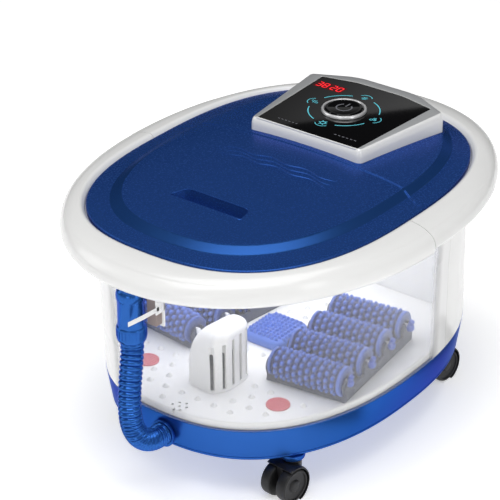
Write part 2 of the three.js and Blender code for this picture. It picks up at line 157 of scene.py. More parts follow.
@dataclass(frozen=True)
class Finish:
    """A moulded plastic or metal surface: colour that drifts a little, and a fine skin texture."""

    name: str
    colour: str
    roughness: float = 0.3
    metallic: float = 0.0
    ior: float = 1.5
    edge: str = ""  # the colour of reflections at a glancing angle, where they are tinted
    coat: float = 0.0
    drift: float = 0.05  # how much the colour varies over drift_mm
    drift_mm: float = 45.0
    skin_mm: float = 1.6  # size of the skin's bumps
    skin: float = 0.06  # how strongly they show
    brush: tuple[float, float, float] = (1.0, 1.0, 1.0)  # stretches the skin along an axis
    glow: float = 0.0

    def made(self) -> bpy.types.Material:
        """Makes the material, or returns it if it is there already."""
        found = bpy.data.materials.get(self.name)
        if found:
            return found
        material = bpy.data.materials.new(self.name)
        material.use_nodes = True
        tree = material.node_tree
        tree.nodes.clear()
        shader = self.shader(tree)
        add_node(tree, "ShaderNodeOutputMaterial", {"Surface": shader.outputs[0]})
        material.diffuse_color = linear(self.colour)
        return material

    def shader(self, tree: bpy.types.NodeTree) -> bpy.types.Node:
        """Builds the surface: drifting colour and roughness, and bumps of the skin's size."""
        place = add_node(tree, "ShaderNodeTexCoord").outputs["Object"]
        cloud = add_node(
            tree,
            "ShaderNodeTexNoise",
            {"Vector": place, "Scale": per_metre(self.drift_mm), "Detail": 3.0},
        )
        base = linear(self.colour)
        dark = tuple(c * (1 - self.drift) for c in base[:3]) + (1.0,)
        light = tuple(min(1.0, c * (1 + self.drift)) for c in base[:3]) + (1.0,)
        tint = add_node(
            tree, "ShaderNodeMix", {0: cloud.outputs["Fac"], 6: dark, 7: light}, data_type="RGBA"
        )
        stretched = add_node(tree, "ShaderNodeMapping", {"Vector": place, "Scale": self.brush})
        grain = add_node(
            tree,
            "ShaderNodeTexNoise",
            {"Vector": stretched.outputs[0], "Scale": per_metre(self.skin_mm), "Detail": 2.0},
        )
        bump = add_node(
            tree,
            "ShaderNodeBump",
            {"Strength": self.skin, "Distance": 0.1 * self.skin_mm * MM, "Height": grain.outputs["Fac"]},
        )
        rough = add_node(
            tree,
            "ShaderNodeMapRange",
            {
                "Value": grain.outputs["Fac"],
                "To Min": 0.9 * self.roughness,
                "To Max": 1.1 * self.roughness,
            },
        )
        inputs = {
            "Base Color": tint.outputs[2],
            "Roughness": rough.outputs[0],
            "Normal": bump.outputs[0],
            "Metallic": self.metallic,
            "Coat Weight": self.coat,
            "Coat Roughness": 0.05,
        }
        if not self.metallic:
            inputs["IOR"] = self.ior
        if self.edge:
            inputs["Specular Tint"] = linear(self.edge)
        if self.glow:
            inputs["Emission Color"] = tint.outputs[2]
            inputs["Emission Strength"] = self.glow
        return add_node(tree, "ShaderNodeBsdfPrincipled", inputs)


@dataclass(frozen=True)
class Toothed(Finish):
    """A plastic with painted shade in its grooves: darker there than at its tooth tips, by the mesh's own
    tooth height.
    """

    # the colour of the painted shade in the grooves
    groove: str = "#1c2f6b"

    def shader(self, tree: bpy.types.NodeTree) -> bpy.types.Node:
        """Mixes the painted groove shade into the plastic where the teeth are low."""
        plastic = super().shader(tree)
        tooth = add_node(tree, "ShaderNodeAttribute", attribute_name="tooth").outputs["Fac"]
        rise = add_node(tree, "ShaderNodeMapRange", {"Value": tooth, "From Min": 0.1, "From Max": 0.9})
        tip = plastic.inputs["Base Color"].links[0].from_socket
        both = add_node(
            tree,
            "ShaderNodeMix",
            {0: rise.outputs[0], 6: linear(self.groove), 7: tip},
            data_type="RGBA",
        )
        tree.links.new(both.outputs[2], plastic.inputs["Base Color"])
        return plastic


@dataclass(frozen=True)
class ClearWall(Finish):
    """Clear polycarbonate, faintly milky, backed white on the sitter's left and towards the machine."""

    haze: float = 0.045  # how white each skin of the wall is
    edge_on: float = 0.4  # whiter where the wall is seen edge on
    clear_x: float = -46.0  # white to the left of this
    clear_y: float = 34.0  # and behind this
    fade: float = 24.0

    def shader(self, tree: bpy.types.NodeTree) -> bpy.types.Node:
        """Adds the see-through part to the plastic."""
        plastic = super().shader(tree)
        place = add_node(tree, "ShaderNodeTexCoord").outputs["Object"]
        axes = add_node(tree, "ShaderNodeSeparateXYZ", {"Vector": place})
        left = self.ramp(tree, axes.outputs["X"], self.clear_x, self.clear_x - self.fade)
        rear = self.ramp(tree, axes.outputs["Y"], self.clear_y, self.clear_y + self.fade)
        backed = add_node(tree, "ShaderNodeMath", {0: left, 1: rear}, operation="MAXIMUM")
        edge = add_node(tree, "ShaderNodeLayerWeight", {"Blend": 0.25})
        sheer = add_node(
            tree,
            "ShaderNodeMapRange",
            {"Value": edge.outputs["Facing"], "To Min": self.haze, "To Max": self.edge_on},
        )
        solid = add_node(
            tree, "ShaderNodeMath", {0: backed.outputs[0], 1: sheer.outputs[0]}, operation="MAXIMUM"
        )
        clear = add_node(tree, "ShaderNodeBsdfTransparent")
        return add_node(
            tree, "ShaderNodeMixShader", {0: solid.outputs[0], 1: clear.outputs[0], 2: plastic.outputs[0]}
        )

    def ramp(
        self, tree: bpy.types.NodeTree, value: bpy.types.NodeSocket, start: float, end: float
    ) -> bpy.types.NodeSocket:
        """A smooth step of a coordinate from 0 at start to 1 at end, both in millimetres."""
        step = add_node(
            tree,
            "ShaderNodeMapRange",
            {"Value": value, "From Min": start * MM, "From Max": end * MM},
            interpolation_type="SMOOTHSTEP",
        )
        return step.outputs[0]


# Injection-moulded ABS with a polished tool: clean white with a soft sheen
WHITE_ABS = Finish("white_abs_polished", "#efefee", 0.22, coat=0.25, drift=0.015, skin=0.03)
# Navy ABS with metallic-effect pigment: deep colour whose highlights stay blue
NAVY_ABS = Finish("navy_abs_metallic", "#2a519a", 0.27, 0.5, edge="#2f66c8", drift=0.06, skin=0.02)
# A lighter, more metallic copy of the navy moulding for the sloped step round the dome: a painted highlight
NAVY_STEP_HIGHLIGHT = Finish(
    "navy_abs_polished_step", "#2b58a0", 0.26, 0.7, edge="#4f86e0", drift=0.06, skin=0.02
)
# Royal blue ABS of the base, with the same pigment: brighter
ROYAL_ABS = Finish(
    "royal_blue_abs_metallic", "#2c5dab", 0.3, 0.8, edge="#4f86e0", drift=0.05, skin=0.03
)
# Soft PVC of the corrugated hose: waxy, with a blue sheen
HOSE_PVC = Finish(
    "hose_pvc_blue", "#2d60ae", 0.2, 0.7, edge="#5f92e6", drift=0.08, drift_mm=12, skin=0.06
)
# Satin polypropylene of the rollers: pale blue tooth tips over grooves darkened with painted shade
ROLLER_PP = Toothed(
    "roller_polypropylene_blue", "#5679d8", 0.3, coat=0.3, drift=0.12, drift_mm=9, skin=0.12
)
# The same plastic on the smooth pegs of the shafts
SHAFT_END_PP = Finish("peg_polypropylene_blue", "#3a5cc0", 0.3, drift=0.12, drift_mm=9, skin=0.12)
# Matt grey-blue tray moulding with a spark-eroded texture
TRAY_PP = Finish("tray_polypropylene_grey", "#434a60", 0.55, drift=0.08, drift_mm=18, skin=0.2)
# Rubbery thermoplastic of the foot pad
PAD_TPE = Finish("pad_elastomer_blue", "#4a72cc", 0.42, drift=0.1, drift_mm=10, skin=0.15)
# Tinted heat window: translucent red acrylic over a white floor
RED_ACRYLIC = Finish("window_acrylic_red", "#d8787e", 0.18, coat=0.4, drift=0.14, drift_mm=5, skin=0.05)
# Silver lacquer over ABS, brushed across
SILVER_LACQUER = Finish(
    "silver_lacquer_brushed",
    "#d6d8da",
    0.34,
    0.55,
    skin_mm=1.1,
    skin=0.25,
    brush=(0.06, 1.0, 1.0),
    drift=0.08,
)
# Back-printed tempered panel: black and mirror smooth
PANEL_GLASS = Finish("panel_glass_black", "#050507", 0.03, ior=1.52, drift=0.3, skin=0.01)
# Nickel-chrome plate over ABS
CHROME = Finish("chrome_plated_abs", "#f6f6f8", 0.3, 0.6, drift=0.02, skin=0.02)
# Black nylon of the caster hoods
BLACK_NYLON = Finish("black_nylon_satin", "#17171a", 0.36, drift=0.15, drift_mm=10, skin_mm=0.9, skin=0.2)
# Hard rubbery tread
TREAD = Finish("caster_tread_polyurethane", "#0d0d0f", 0.5, drift=0.2, drift_mm=6, skin=0.25)
# White acetal of the roller shafts
AXLE_POM = Finish("axle_acetal_white", "#eceef2", 0.3, drift=0.02, skin=0.04)
# Taupe plate inside the hose bracket: painted shade of the recess, slightly warm
TAUPE_SHADE = Finish("bracket_abs_taupe", "#8f817d", 0.5, drift=0.06, drift_mm=12, skin=0.12)
# Painted shade lining the inside of the herb box
HERB_BOX_SHADE = Finish("herb_box_inside_grey", "#4c4e52", 0.7, drift=0.2, drift_mm=4, skin=0.1)
# Painted shade seen down a hole
HOLE_SHADE = Finish("hole_dark_grey", "#3c3e44", 0.6, drift=0.2, drift_mm=4, skin=0.1)
# Printed legends lit from behind
CYAN_GLOW = Finish("legend_lit_cyan", "#57b6c4", 0.4, glow=0.35, drift=0.3, drift_mm=6, skin=0.02)
GREY_LEGEND = Finish("legend_printed_grey", "#6b6c72", 0.4, glow=0.1, drift=0.1, drift_mm=6, skin=0.02)
RED_GLOW = Finish("digits_lit_red", "#e0242c", 0.4, glow=1.2, drift=0.15, drift_mm=4, skin=0.02)
RED_HALO = Finish("display_window_red", "#4a0a0e", 0.2, glow=0.12, drift=0.2, drift_mm=6, skin=0.02)
# Machines and boards inside
STEEL = Finish("steel_tube_drawn", "#9da2a8", 0.32, 1.0, skin=0.2, brush=(0.05, 1.0, 1.0))
BOARD = Finish("circuit_board_fr4", "#1d6338", 0.45, coat=0.3, drift=0.2, drift_mm=4, skin=0.2)
GREY_ABS = Finish("machine_abs_grey", "#6c7076", 0.5, drift=0.08, skin=0.15)
# Matt studio paper and black card, which aren't part of the basin
PAPER = Finish(
    "studio_paper", "#f6f6f6", 0.9, glow=0.5, drift=0.004, drift_mm=400, skin_mm=3, skin=0.02
)
BLACK_CARD = Finish("studio_black_card", "#050505", 0.9, drift=0.1, skin=0.02)
# Clear polycarbonate of the tub's front
CLEAR_WALL = ClearWall("clear_polycarbonate", "#f3f3f3", 0.12, drift=0.01, skin=0.02)


# ---------------------------------------------------------------- shaping


@dataclass(frozen=True)
class Oval:
    """A superellipse seen from above: half width, half length, squareness and centre."""

    a: float
    b: float
    n: float
    y: float

    def at(self, turn: float, z: float) -> Vector:
        """The point at this turn, in radians, and height, in metres."""
        c, s = math.cos(turn), math.sin(turn)
        x = self.a * math.copysign(abs(c) ** (2 / self.n), c)
        y = self.b * math.copysign(abs(s) ** (2 / self.n), s) + self.y
        return Vector((x, y, z)) * MM

    def inset(self, by: float) -> Oval:
        """The same oval, smaller by this much all round."""
        return replace(self, a=self.a - by, b=self.b - by)

    def scaled(self, by: float) -> Oval:
        """The same oval times a factor, about its own centre."""
        return replace(self, a=self.a * by, b=self.b * by)

    def gauge(self, x: float, y: float) -> float:
        """How far out a point is: 1 on the oval and 0 at its centre."""
        return (abs(x / self.a) ** self.n + abs((y - self.y) / self.b) ** self.n) ** (1 / self.n)


@dataclass(frozen=True)
class Station:
    """One line of a lofted section: an oval at a height, with its corner rounded by fillet mm."""

    oval: Oval
    z: float
    fillet: float = 0.0

    def toward(self, other: Station, share: float) -> Station:
        """The station part of the way to another."""
        mix = [p + (q - p) * share for p, q in zip(self.numbers(), other.numbers())]
        return Station(Oval(*mix[:4]), mix[4])

    def numbers(self) -> tuple[float, ...]:
        """The oval's numbers and the height."""
        return (self.oval.a, self.oval.b, self.oval.n, self.oval.y, self.z)

    def reach(self, other: Station) -> float:
        """The distance to another station along the section, in millimetres."""
        return math.hypot(self.oval.a - other.oval.a, self.z - other.z) + 1e-6

    def ring(self, sides: int = SIDES) -> Points:
        """The oval's points."""
        return [self.oval.at(WHOLE * (i + 0.5) / sides, self.z) for i in range(sides)]


def rounded(stations: Sequence[Station], closed: bool = False, steps: int = 5) -> list[Station]:
    """Rounds the corners of a section.

    Args:
        stations: the section's corners in order.
        closed: whether the last corner joins the first.
        steps: pieces in each rounded corner.

    Returns:
        The stations with each filleted corner replaced by a smooth bend.
    """
    out: list[Station] = []
    count = len(stations)
    for i, here in enumerate(stations):
        at_end = not closed and i in (0, count - 1)
        if not here.fillet or at_end:
            out.append(here)
            continue
        before, after = stations[i - 1], stations[(i + 1) % count]
        back = min(0.5, here.fillet / here.reach(before))
        ahead = min(0.5, here.fillet / here.reach(after))
        start, end = here.toward(before, back), here.toward(after, ahead)
        for k in range(steps + 1):
            w = k / steps
            out.append(start.toward(here, w).toward(here.toward(end, w), w))
    return out


def sweep(bm: Mesh, rings: Sequence[Points], closed: bool = False) -> None:
    """Extrudes a closed ring from station to station, and caps or closes the body.

    Args:
        bm: the mesh to add to.
        rings: rings with the same number of points.
        closed: joins the last ring to the first; otherwise both ends are filled.
    """
    order = bm.verts.layers.int.get("order") or bm.verts.layers.int.new("order")
    verts = [bm.verts.new(p) for p in rings[0]]
    for i, v in enumerate(verts):
        v[order] = i
    first = [bm.edges.new(pair) for pair in zip(verts, verts[1:] + verts[:1])]
    edges = first
    for points in rings[1:]:
        made = bmesh.ops.extrude_edge_only(bm, edges=edges)["geom"]
        edges = [g for g in made if isinstance(g, bmesh.types.BMEdge) and g.is_boundary]
        for v in (g for g in made if isinstance(g, bmesh.types.BMVert)):
            v.co = points[v[order]]
    if closed:
        bmesh.ops.bridge_loops(bm, edges=first + edges)
    else:
        for loop in (first, edges):
            bmesh.ops.contextual_create(bm, geom=loop)


def swept(*rings: Points, closed: bool = False) -> Mesh:
    """A new mesh swept through these rings."""
    bm = bmesh.new()
    sweep(bm, rings, closed)
    return bm


def lofted(stations: Sequence[Station], closed: bool = False, steps: int = 5) -> Mesh:
    """A new mesh lofted through a section's stations, with its corners rounded."""
    return swept(*(s.ring() for s in rounded(stations, closed, steps)), closed=closed)


def face_out(bm: Mesh) -> None:
    """Turns every face outwards."""
    bmesh.ops.recalc_face_normals(bm, faces=bm.faces)


def lathe(
    bm: Mesh,
    profile: Flat,
    place: Matrix,
    steps: int = 32,
    turn: float = WHOLE,
    start: float = 0.0,
) -> None:
    """Spins a profile of (radius, height) in millimetres about its own upright axis, then places it.

    Args:
        bm: the mesh to add to.
        profile: the outline from one end to the other.
        place: where the axis goes, in metres.
        steps: pieces round the axis.
        turn: how far it spins.
        start: the turn it starts at.
    """
    before = set(bm.verts)
    swing = Matrix.Rotation(start, 3, "Z")
    verts = [bm.verts.new(swing @ Vector((r, 0, h)) * MM) for r, h in profile]
    edges = [bm.edges.new(pair) for pair in zip(verts, verts[1:])]
    whole = abs(turn - WHOLE) < 1e-6
    bmesh.ops.spin(
        bm, geom=verts + edges, cent=(0, 0, 0), axis=(0, 0, 1), angle=turn, steps=steps, use_merge=whole
    )
    made = [v for v in bm.verts if v not in before]
    bmesh.ops.remove_doubles(bm, verts=made, dist=1e-6)
    made = [v for v in bm.verts if v not in before]
    faces = list({f for v in made for f in v.link_faces})
    bmesh.ops.recalc_face_normals(bm, faces=faces)
    bmesh.ops.transform(bm, verts=made, matrix=place)


def at(x: float, y: float, z: float) -> Matrix:
    """A place in the basin's frame, from millimetres."""
    return Matrix.Translation(Vector((x, y, z)) * MM)


def turned(angle: float, axis: str) -> Matrix:
    """A turn in degrees about an axis."""
    return Matrix.Rotation(math.radians(angle), 4, axis)


def box(bm: Mesh, low: Sequence[float], high: Sequence[float], bevel: float = 0.0) -> None:
    """Adds a box between two corners in millimetres, with rounded edges.

    Args:
        bm: the mesh to add to.
        low: the lowest corner.
        high: the highest corner.
        bevel: the edge radius.
    """
    lo, hi = Vector(low) * MM, Vector(high) * MM
    size = Matrix.Diagonal((*(hi - lo), 1.0))
    made = bmesh.ops.create_cube(bm, size=1.0, matrix=Matrix.Translation((lo + hi) / 2) @ size)["verts"]
    if bevel:
        edges = list({e for v in made for e in v.link_edges})
        bmesh.ops.bevel(
            bm, geom=edges, offset=bevel * MM, segments=3, profile=0.5, affect="EDGES", material=-1
        )


def cone(bm: Mesh, place: Matrix, low_r: float, top_r: float, high: float, sides: int) -> None:
    """Adds a blunt cone, or a cylinder, about the middle of its height."""
    bmesh.ops.create_cone(
        bm,
        cap_ends=True,
        segments=sides,
        radius1=low_r * MM,
        radius2=top_r * MM,
        depth=high * MM,
        matrix=place,
    )


def outline(corners: Sequence[tuple[float, float, float]], steps: int = 6) -> Flat:
    """Rounds the corners of a flat outline.

    Args:
        corners: x, y and corner radius of each corner, in order.
        steps: pieces in each rounded corner.

    Returns:
        The outline's points, the same number at every corner.
    """
    out: Flat = []
    count = len(corners)
    for i, (x, y, r) in enumerate(corners):
        here = Vector((x, y))
        before = Vector(corners[i - 1][:2]) - here
        after = Vector(corners[(i + 1) % count][:2]) - here
        half = max(0.05, before.angle(after) / 2)
        cut = min(r / math.tan(half), 0.48 * before.length, 0.48 * after.length)
        start, end = here + before.normalized() * cut, here + after.normalized() * cut
        for k in range(steps + 1):
            w = k / steps
            p = start.lerp(here, w).lerp(here.lerp(end, w), w)
            out.append((p.x, p.y))
    return out


def rectangle(x: float, y: float, half_x: float, half_y: float, r: float, steps: int) -> Flat:
    """A rectangle about a point, with its corners rounded."""
    x0, x1, y0, y1 = x - half_x, x + half_x, y - half_y, y + half_y
    return outline([(x0, y0, r), (x1, y0, r), (x1, y1, r), (x0, y1, r)], steps)


def grown(points: Flat, by: float) -> Flat:
    """Moves every point of an anticlockwise outline outwards by this many millimetres."""
    out = []
    count = len(points)
    for i, (x, y) in enumerate(points):
        ahead, behind = Vector(points[(i + 1) % count]), Vector(points[i - 1])
        along = (ahead - behind).normalized()
        out.append((x + along.y * by, y - along.x * by))
    return out


def level(points: Flat, z: float) -> Points:
    """The flat outline as a ring at this height."""
    return [Vector((x, y, z)) * MM for x, y in points]


def catmull(points: Sequence[Vector], step: float) -> Points:
    """A smooth line through points, in metres, with its points about step metres apart."""
    out: Points = []
    ends = [points[0] * 2 - points[1], *points, points[-1] * 2 - points[-2]]
    for p0, p1, p2, p3 in zip(ends, ends[1:], ends[2:], ends[3:]):
        count = max(1, round((p2 - p1).length / step))
        for k in range(count):
            t = k / count
            out.append(
                0.5
                * (
                    2 * p1
                    + (p2 - p0) * t
                    + (2 * p0 - 5 * p1 + 4 * p2 - p3) * t * t
                    + (3 * p1 - p0 - 3 * p2 + p3) * t * t * t
                )
            )
    out.append(points[-1].copy())
    return out


def tube(
    bm: Mesh,
    path: Sequence[Vector],
    radius: Callable[[int], float],
    sides: int = 12,
    closed: bool = False,
) -> None:
    """Sweeps a round section along a line without twisting it.

    Args:
        bm: the mesh to add to.
        path: the line's points, in metres.
        radius: the radius at each point, in metres.
        sides: points round the section.
        closed: whether the line closes on itself.
    """
    rings: list[Points] = []
    count = len(path)
    normal: Vector | None = None
    for i, here in enumerate(path):
        ahead = path[(i + 1) % count] if closed else path[min(i + 1, count - 1)]
        behind = path[i - 1] if closed or i else path[0]
        along = (ahead - behind).normalized()
        if normal is None:
            normal = along.orthogonal().normalized()
        normal = (normal - along * normal.dot(along)).normalized()
        across = along.cross(normal)
        turns = [WHOLE * k / sides for k in range(sides)]
        rings.append([here + (normal * math.cos(t) + across * math.sin(t)) * radius(i) for t in turns])
    sweep(bm, rings, closed=closed)


def new_object(name: str, bm: Mesh) -> bpy.types.Object:
    """Turns a mesh into an object of the same name, and uses the mesh up."""
    mesh = bpy.data.meshes.new(name)
    bm.to_mesh(mesh)
    bm.free()
    return bpy.data.objects.new(name, mesh)


def piece(
    name: str,
    bm: Mesh,
    finish: Finish | Sequence[Finish],
    nodes: Sequence[str] = (),
    body: str = "root",
    bevel: float = 0.0,
) -> bpy.types.Object:
    """Turns a finished mesh into a piece of the basin.

    Args:
        name: the piece's name.
        bm: its mesh, which is used up.
        finish: its finish, or several where faces carry a finish number.
        nodes: the design's nodes that it stands for.
        body: the body that it moves with.
        bevel: an edge radius in millimetres, put on by a modifier.

    Returns:
        The object, at the origin.
    """
    obj = new_object(name, bm)
    mesh = obj.data
    mesh.shade_smooth()
    mesh.set_sharp_from_angle(angle=SHARP)
    for one in [finish] if isinstance(finish, Finish) else finish:
        mesh.materials.append(one.made())
    bpy.context.scene.collection.objects.link(obj)
    if bevel:
        edge = obj.modifiers.new("edge", "BEVEL")
        edge.width = bevel * MM
        edge.segments = 2
        edge.limit_method = "ANGLE"
        edge.angle_limit = math.radians(40)
        edge.harden_normals = True
    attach(obj, body)
    if nodes:
        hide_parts(*nodes)
    LOG.info("%s: %d faces", name, len(mesh.polygons))
    return obj


def carved(body: Mesh, tool: Mesh, cut: Cut) -> Mesh:
    """Cuts one closed mesh with another.

    Args:
        body: the mesh to cut, which is used up.
        tool: the cutting shape, which is used up.
        cut: whether the tool's space is taken away or kept.

    Returns:
        The cut mesh.
    """
    pair = []
    for label, bm in (("body", body), ("tool", tool)):
        face_out(bm)
        obj = new_object(label, bm)
        bpy.context.scene.collection.objects.link(obj)
        pair.append(obj)
    target, cutter = pair
    knife = target.modifiers.new("cut", "BOOLEAN")
    knife.operation = cut.value
    knife.solver = "EXACT"
    knife.object = cutter
    graph = bpy.context.evaluated_depsgraph_get()
    result = bpy.data.meshes.new_from_object(target.evaluated_get(graph))
    out = bmesh.new()
    out.from_mesh(result)
    bmesh.ops.remove_doubles(out, verts=out.verts, dist=1e-6)
    for obj in pair:
        mesh = obj.data
        bpy.data.objects.remove(obj)
        bpy.data.meshes.remove(mesh)
    bpy.data.meshes.remove(result)
    return out


def parted(bm: Mesh, y: float, keep_front: bool) -> None:
    """Keeps what lies in front of, or behind, an upright plane across the basin, and closes the cut.

    Args:
        bm: the mesh.
        y: where the plane is, in millimetres.
        keep_front: whether the front part stays.
    """
    bmesh.ops.bisect_plane(
        bm,
        geom=bm.verts[:] + bm.edges[:] + bm.faces[:],
        plane_co=(0, y * MM, 0),
        plane_no=(0, 1, 0),
        clear_outer=keep_front,
        clear_inner=not keep_front,
    )
    bmesh.ops.holes_fill(bm, edges=[e for e in bm.edges if e.is_boundary], sides=0)
    face_out(bm)


# ---------------------------------------------------------------- studio


@dataclass
class Studio:
    """The camera, a pale floor and soft light, in metres, degrees and watts."""

    camera_at: tuple[float, float, float] = (1.1481, -1.5359, 1.20025)
    azimuth: float = 37.098
    elevation: float = 28.271
    swing: float = 0.579  # the camera is turned a little to its left
    lens: float = 162.52
    card_size: tuple[float, float] = (4.2, 1.0)
    card_top: float = 0.945
    card_tilt: float = 8.0
    card_fade: float = 0.24
    card_light: float = 0.9
    card_back: float = 1.5
    card_right: float = 0.1
    flag_size: tuple[float, float] = (0.085, 0.15)
    flags: tuple[tuple[float, float, float], ...] = (
        (0.245, -0.085, 10), (0.2, 0.175, 30), (-0.15, -0.26, 60),
    )

    def shoot(self) -> None:
        """Places the camera."""
        a, e = math.radians(self.azimuth), math.radians(self.elevation)
        back = Vector((math.sin(a) * math.cos(e), -math.cos(a) * math.cos(e), math.sin(e)))
        right = Vector((math.cos(a), math.sin(a), 0))
        up = back.cross(right)
        frame = Matrix((right, up, back)).transposed()
        swing = Matrix.Rotation(math.radians(self.swing), 3, up)
        data = bpy.data.cameras.new("camera")
        data.lens = self.lens
        data.sensor_width = 36
        data.clip_start, data.clip_end = 0.05, 50
        camera = bpy.data.objects.new("camera", data)
        camera.matrix_world = Matrix.Translation(self.camera_at) @ (swing @ frame).to_4x4()
        bpy.context.scene.collection.objects.link(camera)
        bpy.context.scene.camera = camera

    def floor(self) -> None:
        """Lays a wide, flat, pale floor."""
        bm = bmesh.new()
        bmesh.ops.create_circle(bm, cap_ends=True, segments=96, radius=6.0)
        obj = new_object("floor", bm)
        obj.data.materials.append(PAPER.made())
        bpy.context.scene.collection.objects.link(obj)

    def softbox(
        self,
        name: str,
        place: Sequence[float],
        aim: Sequence[float],
        size: tuple[float, float],
        power: float,
    ) -> bpy.types.Object:
        """Hangs one rectangular light.

        Args:
            name: its name.
            place: its centre, in metres.
            aim: the point it faces.
            size: its width and height.
            power: its power in watts.

        Returns:
            The light.
        """
        data = bpy.data.lights.new(name, "AREA")
        data.shape = "RECTANGLE"
        data.size, data.size_y = size
        data.energy = power
        obj = bpy.data.objects.new(name, data)
        obj.location = place
        facing = Vector(aim) - Vector(place)
        obj.rotation_euler = facing.to_track_quat("-Z", "Y").to_euler()
        obj.visible_camera = False
        bpy.context.scene.collection.objects.link(obj)
        return obj

    def world(self) -> None:
        """A room that is bright on the camera's side and dim behind the basin."""
        world = bpy.data.worlds.new("room")
        bpy.context.scene.world = world
        world.use_nodes = True
        tree = world.node_tree
        tree.nodes.clear()
        a = math.radians(self.azimuth)
        toward = (math.sin(a), -math.cos(a), 0.0)
        place = add_node(tree, "ShaderNodeTexCoord").outputs["Generated"]
        side = add_node(tree, "ShaderNodeVectorMath", {0: place, 1: toward}, operation="DOT_PRODUCT")
        share = add_node(
            tree,
            "ShaderNodeMapRange",
            {
                "Value": side.outputs["Value"],
                "From Min": -0.2,
                "From Max": 0.6,
                "To Min": 0.03,
                "To Max": 0.5,
            },
            interpolation_type="SMOOTHSTEP",
        )
        room = add_node(tree, "ShaderNodeBackground", {"Strength": share.outputs[0]})
        pale = add_node(tree, "ShaderNodeBackground", {"Color": (0.93, 0.93, 0.94, 1), "Strength": 1.0})
        ray = add_node(tree, "ShaderNodeLightPath").outputs["Is Camera Ray"]
        both = add_node(tree, "ShaderNodeMixShader", {0: ray, 1: room.outputs[0], 2: pale.outputs[0]})
        add_node(tree, "ShaderNodeOutputWorld", {"Surface": both.outputs[0]})

    def lights(self) -> None:
        """Hangs the soft lights, one of them inside the basin, and sets the cards that gloss mirrors."""
        self.softbox("top_light", (0.2, -0.3, 2.4), (0, 0, 0), (2.2, 2.2), 44)
        self.softbox("left_light", (-1.9, -1.0, 1.2), (0, 0, 0.2), (1.0, 1.6), 8)
        self.softbox("right_light", (2.0, -0.4, 0.7), (0, 0, 0.1), (0.4, 1.2), 4)
        self.softbox("front_light", (0.75, -2.4, 0.5), (0, 0, 0.1), (0.8, 0.6), 3)
        basin = self.softbox("basin_light", (0, -0.02, 0.215), (0, -0.02, 0), (0.2, 0.28), 0.42)
        basin.visible_glossy = False
        self.card()
        for x, y, turn in self.flags:
            self.flag(x, y, turn)

    def card(self) -> None:
        """Stands a card behind the basin that gloss mirrors: bright at its top, fading below."""
        bm = bmesh.new()
        bmesh.ops.create_grid(bm, x_segments=8, y_segments=8, size=0.5)
        obj = new_object("mirrored_card", bm)
        obj.data.materials.append(self.card_glow())
        a, tilt = math.radians(self.azimuth), math.radians(self.card_tilt)
        away = Vector((-math.sin(a), math.cos(a), 0))
        right = Vector((math.cos(a), math.sin(a), 0))
        across = right * math.cos(tilt) - Vector((0, 0, math.sin(tilt)))
        upright = Vector((0, 0, math.cos(tilt))) + right * math.sin(tilt)
        frame = Matrix((across, upright, -away)).transposed().to_4x4()
        size = Matrix.Diagonal((*self.card_size, 1, 1))
        middle = Vector((0, 0, self.card_top - 0.5 * self.card_size[1]))
        centre = away * self.card_back + right * self.card_right + middle
        obj.matrix_world = Matrix.Translation(centre) @ frame @ size
        self.only_mirrored(obj)

    def card_glow(self) -> bpy.types.Material:
        """The card's light: it fades downwards and to the left."""
        material = bpy.data.materials.new("studio_card")
        material.use_nodes = True
        tree = material.node_tree
        tree.nodes.clear()
        place = add_node(tree, "ShaderNodeTexCoord").outputs["Object"]
        axes = add_node(tree, "ShaderNodeSeparateXYZ", {"Vector": place})
        fade = add_node(
            tree,
            "ShaderNodeMapRange",
            {"Value": axes.outputs["Y"], "From Min": 0.5 - self.card_fade, "From Max": 0.5},
        )
        soft = add_node(tree, "ShaderNodeMath", {0: fade.outputs[0], 1: 1.6}, operation="POWER")
        side = add_node(
            tree,
            "ShaderNodeMapRange",
            {
                "Value": axes.outputs["X"],
                "From Min": -0.06,
                "From Max": 0.1,
                "To Min": 0.12,
                "To Max": 1.0,
            },
        )
        power = self.product(tree, soft.outputs[0], side.outputs[0])
        bright = self.product(tree, power, self.card_light)
        glow = add_node(tree, "ShaderNodeEmission", {"Strength": bright})
        add_node(tree, "ShaderNodeOutputMaterial", {"Surface": glow.outputs[0]})
        return material

    def product(
        self, tree: bpy.types.NodeTree, one: bpy.types.NodeSocket, other: bpy.types.NodeSocket | float
    ) -> bpy.types.NodeSocket:
        """Multiplies two values."""
        return add_node(tree, "ShaderNodeMath", {0: one, 1: other}, operation="MULTIPLY").outputs[0]

    def flag(self, x: float, y: float, turn: float) -> None:
        """Lays a black card on the floor beside the basin, which only the glossy skirt mirrors."""
        bm = bmesh.new()
        bmesh.ops.create_grid(bm, x_segments=1, y_segments=1, size=0.5)
        obj = new_object("skirt_flag", bm)
        obj.data.materials.append(BLACK_CARD.made())
        size = Matrix.Diagonal((*self.flag_size, 1, 1))
        obj.matrix_world = Matrix.Translation((x, y, 0.002)) @ turned(turn, "Z") @ size
        self.only_mirrored(obj)

    def only_mirrored(self, obj: bpy.types.Object) -> None:
        """Puts a card in the studio that glossy surfaces mirror and nothing else sees."""
        obj.visible_camera = False
        obj.visible_diffuse = False
        obj.visible_shadow = False
        obj.visible_transmission = False
        bpy.context.scene.collection.objects.link(obj)

    def build(self) -> None:
        """Sets up the whole studio."""
        scene = bpy.context.scene
        scene.view_settings.view_transform = "Standard"
        self.shoot()
        self.floor()
        self.world()
        self.lights()


# ---------------------------------------------------------------- tub and rim


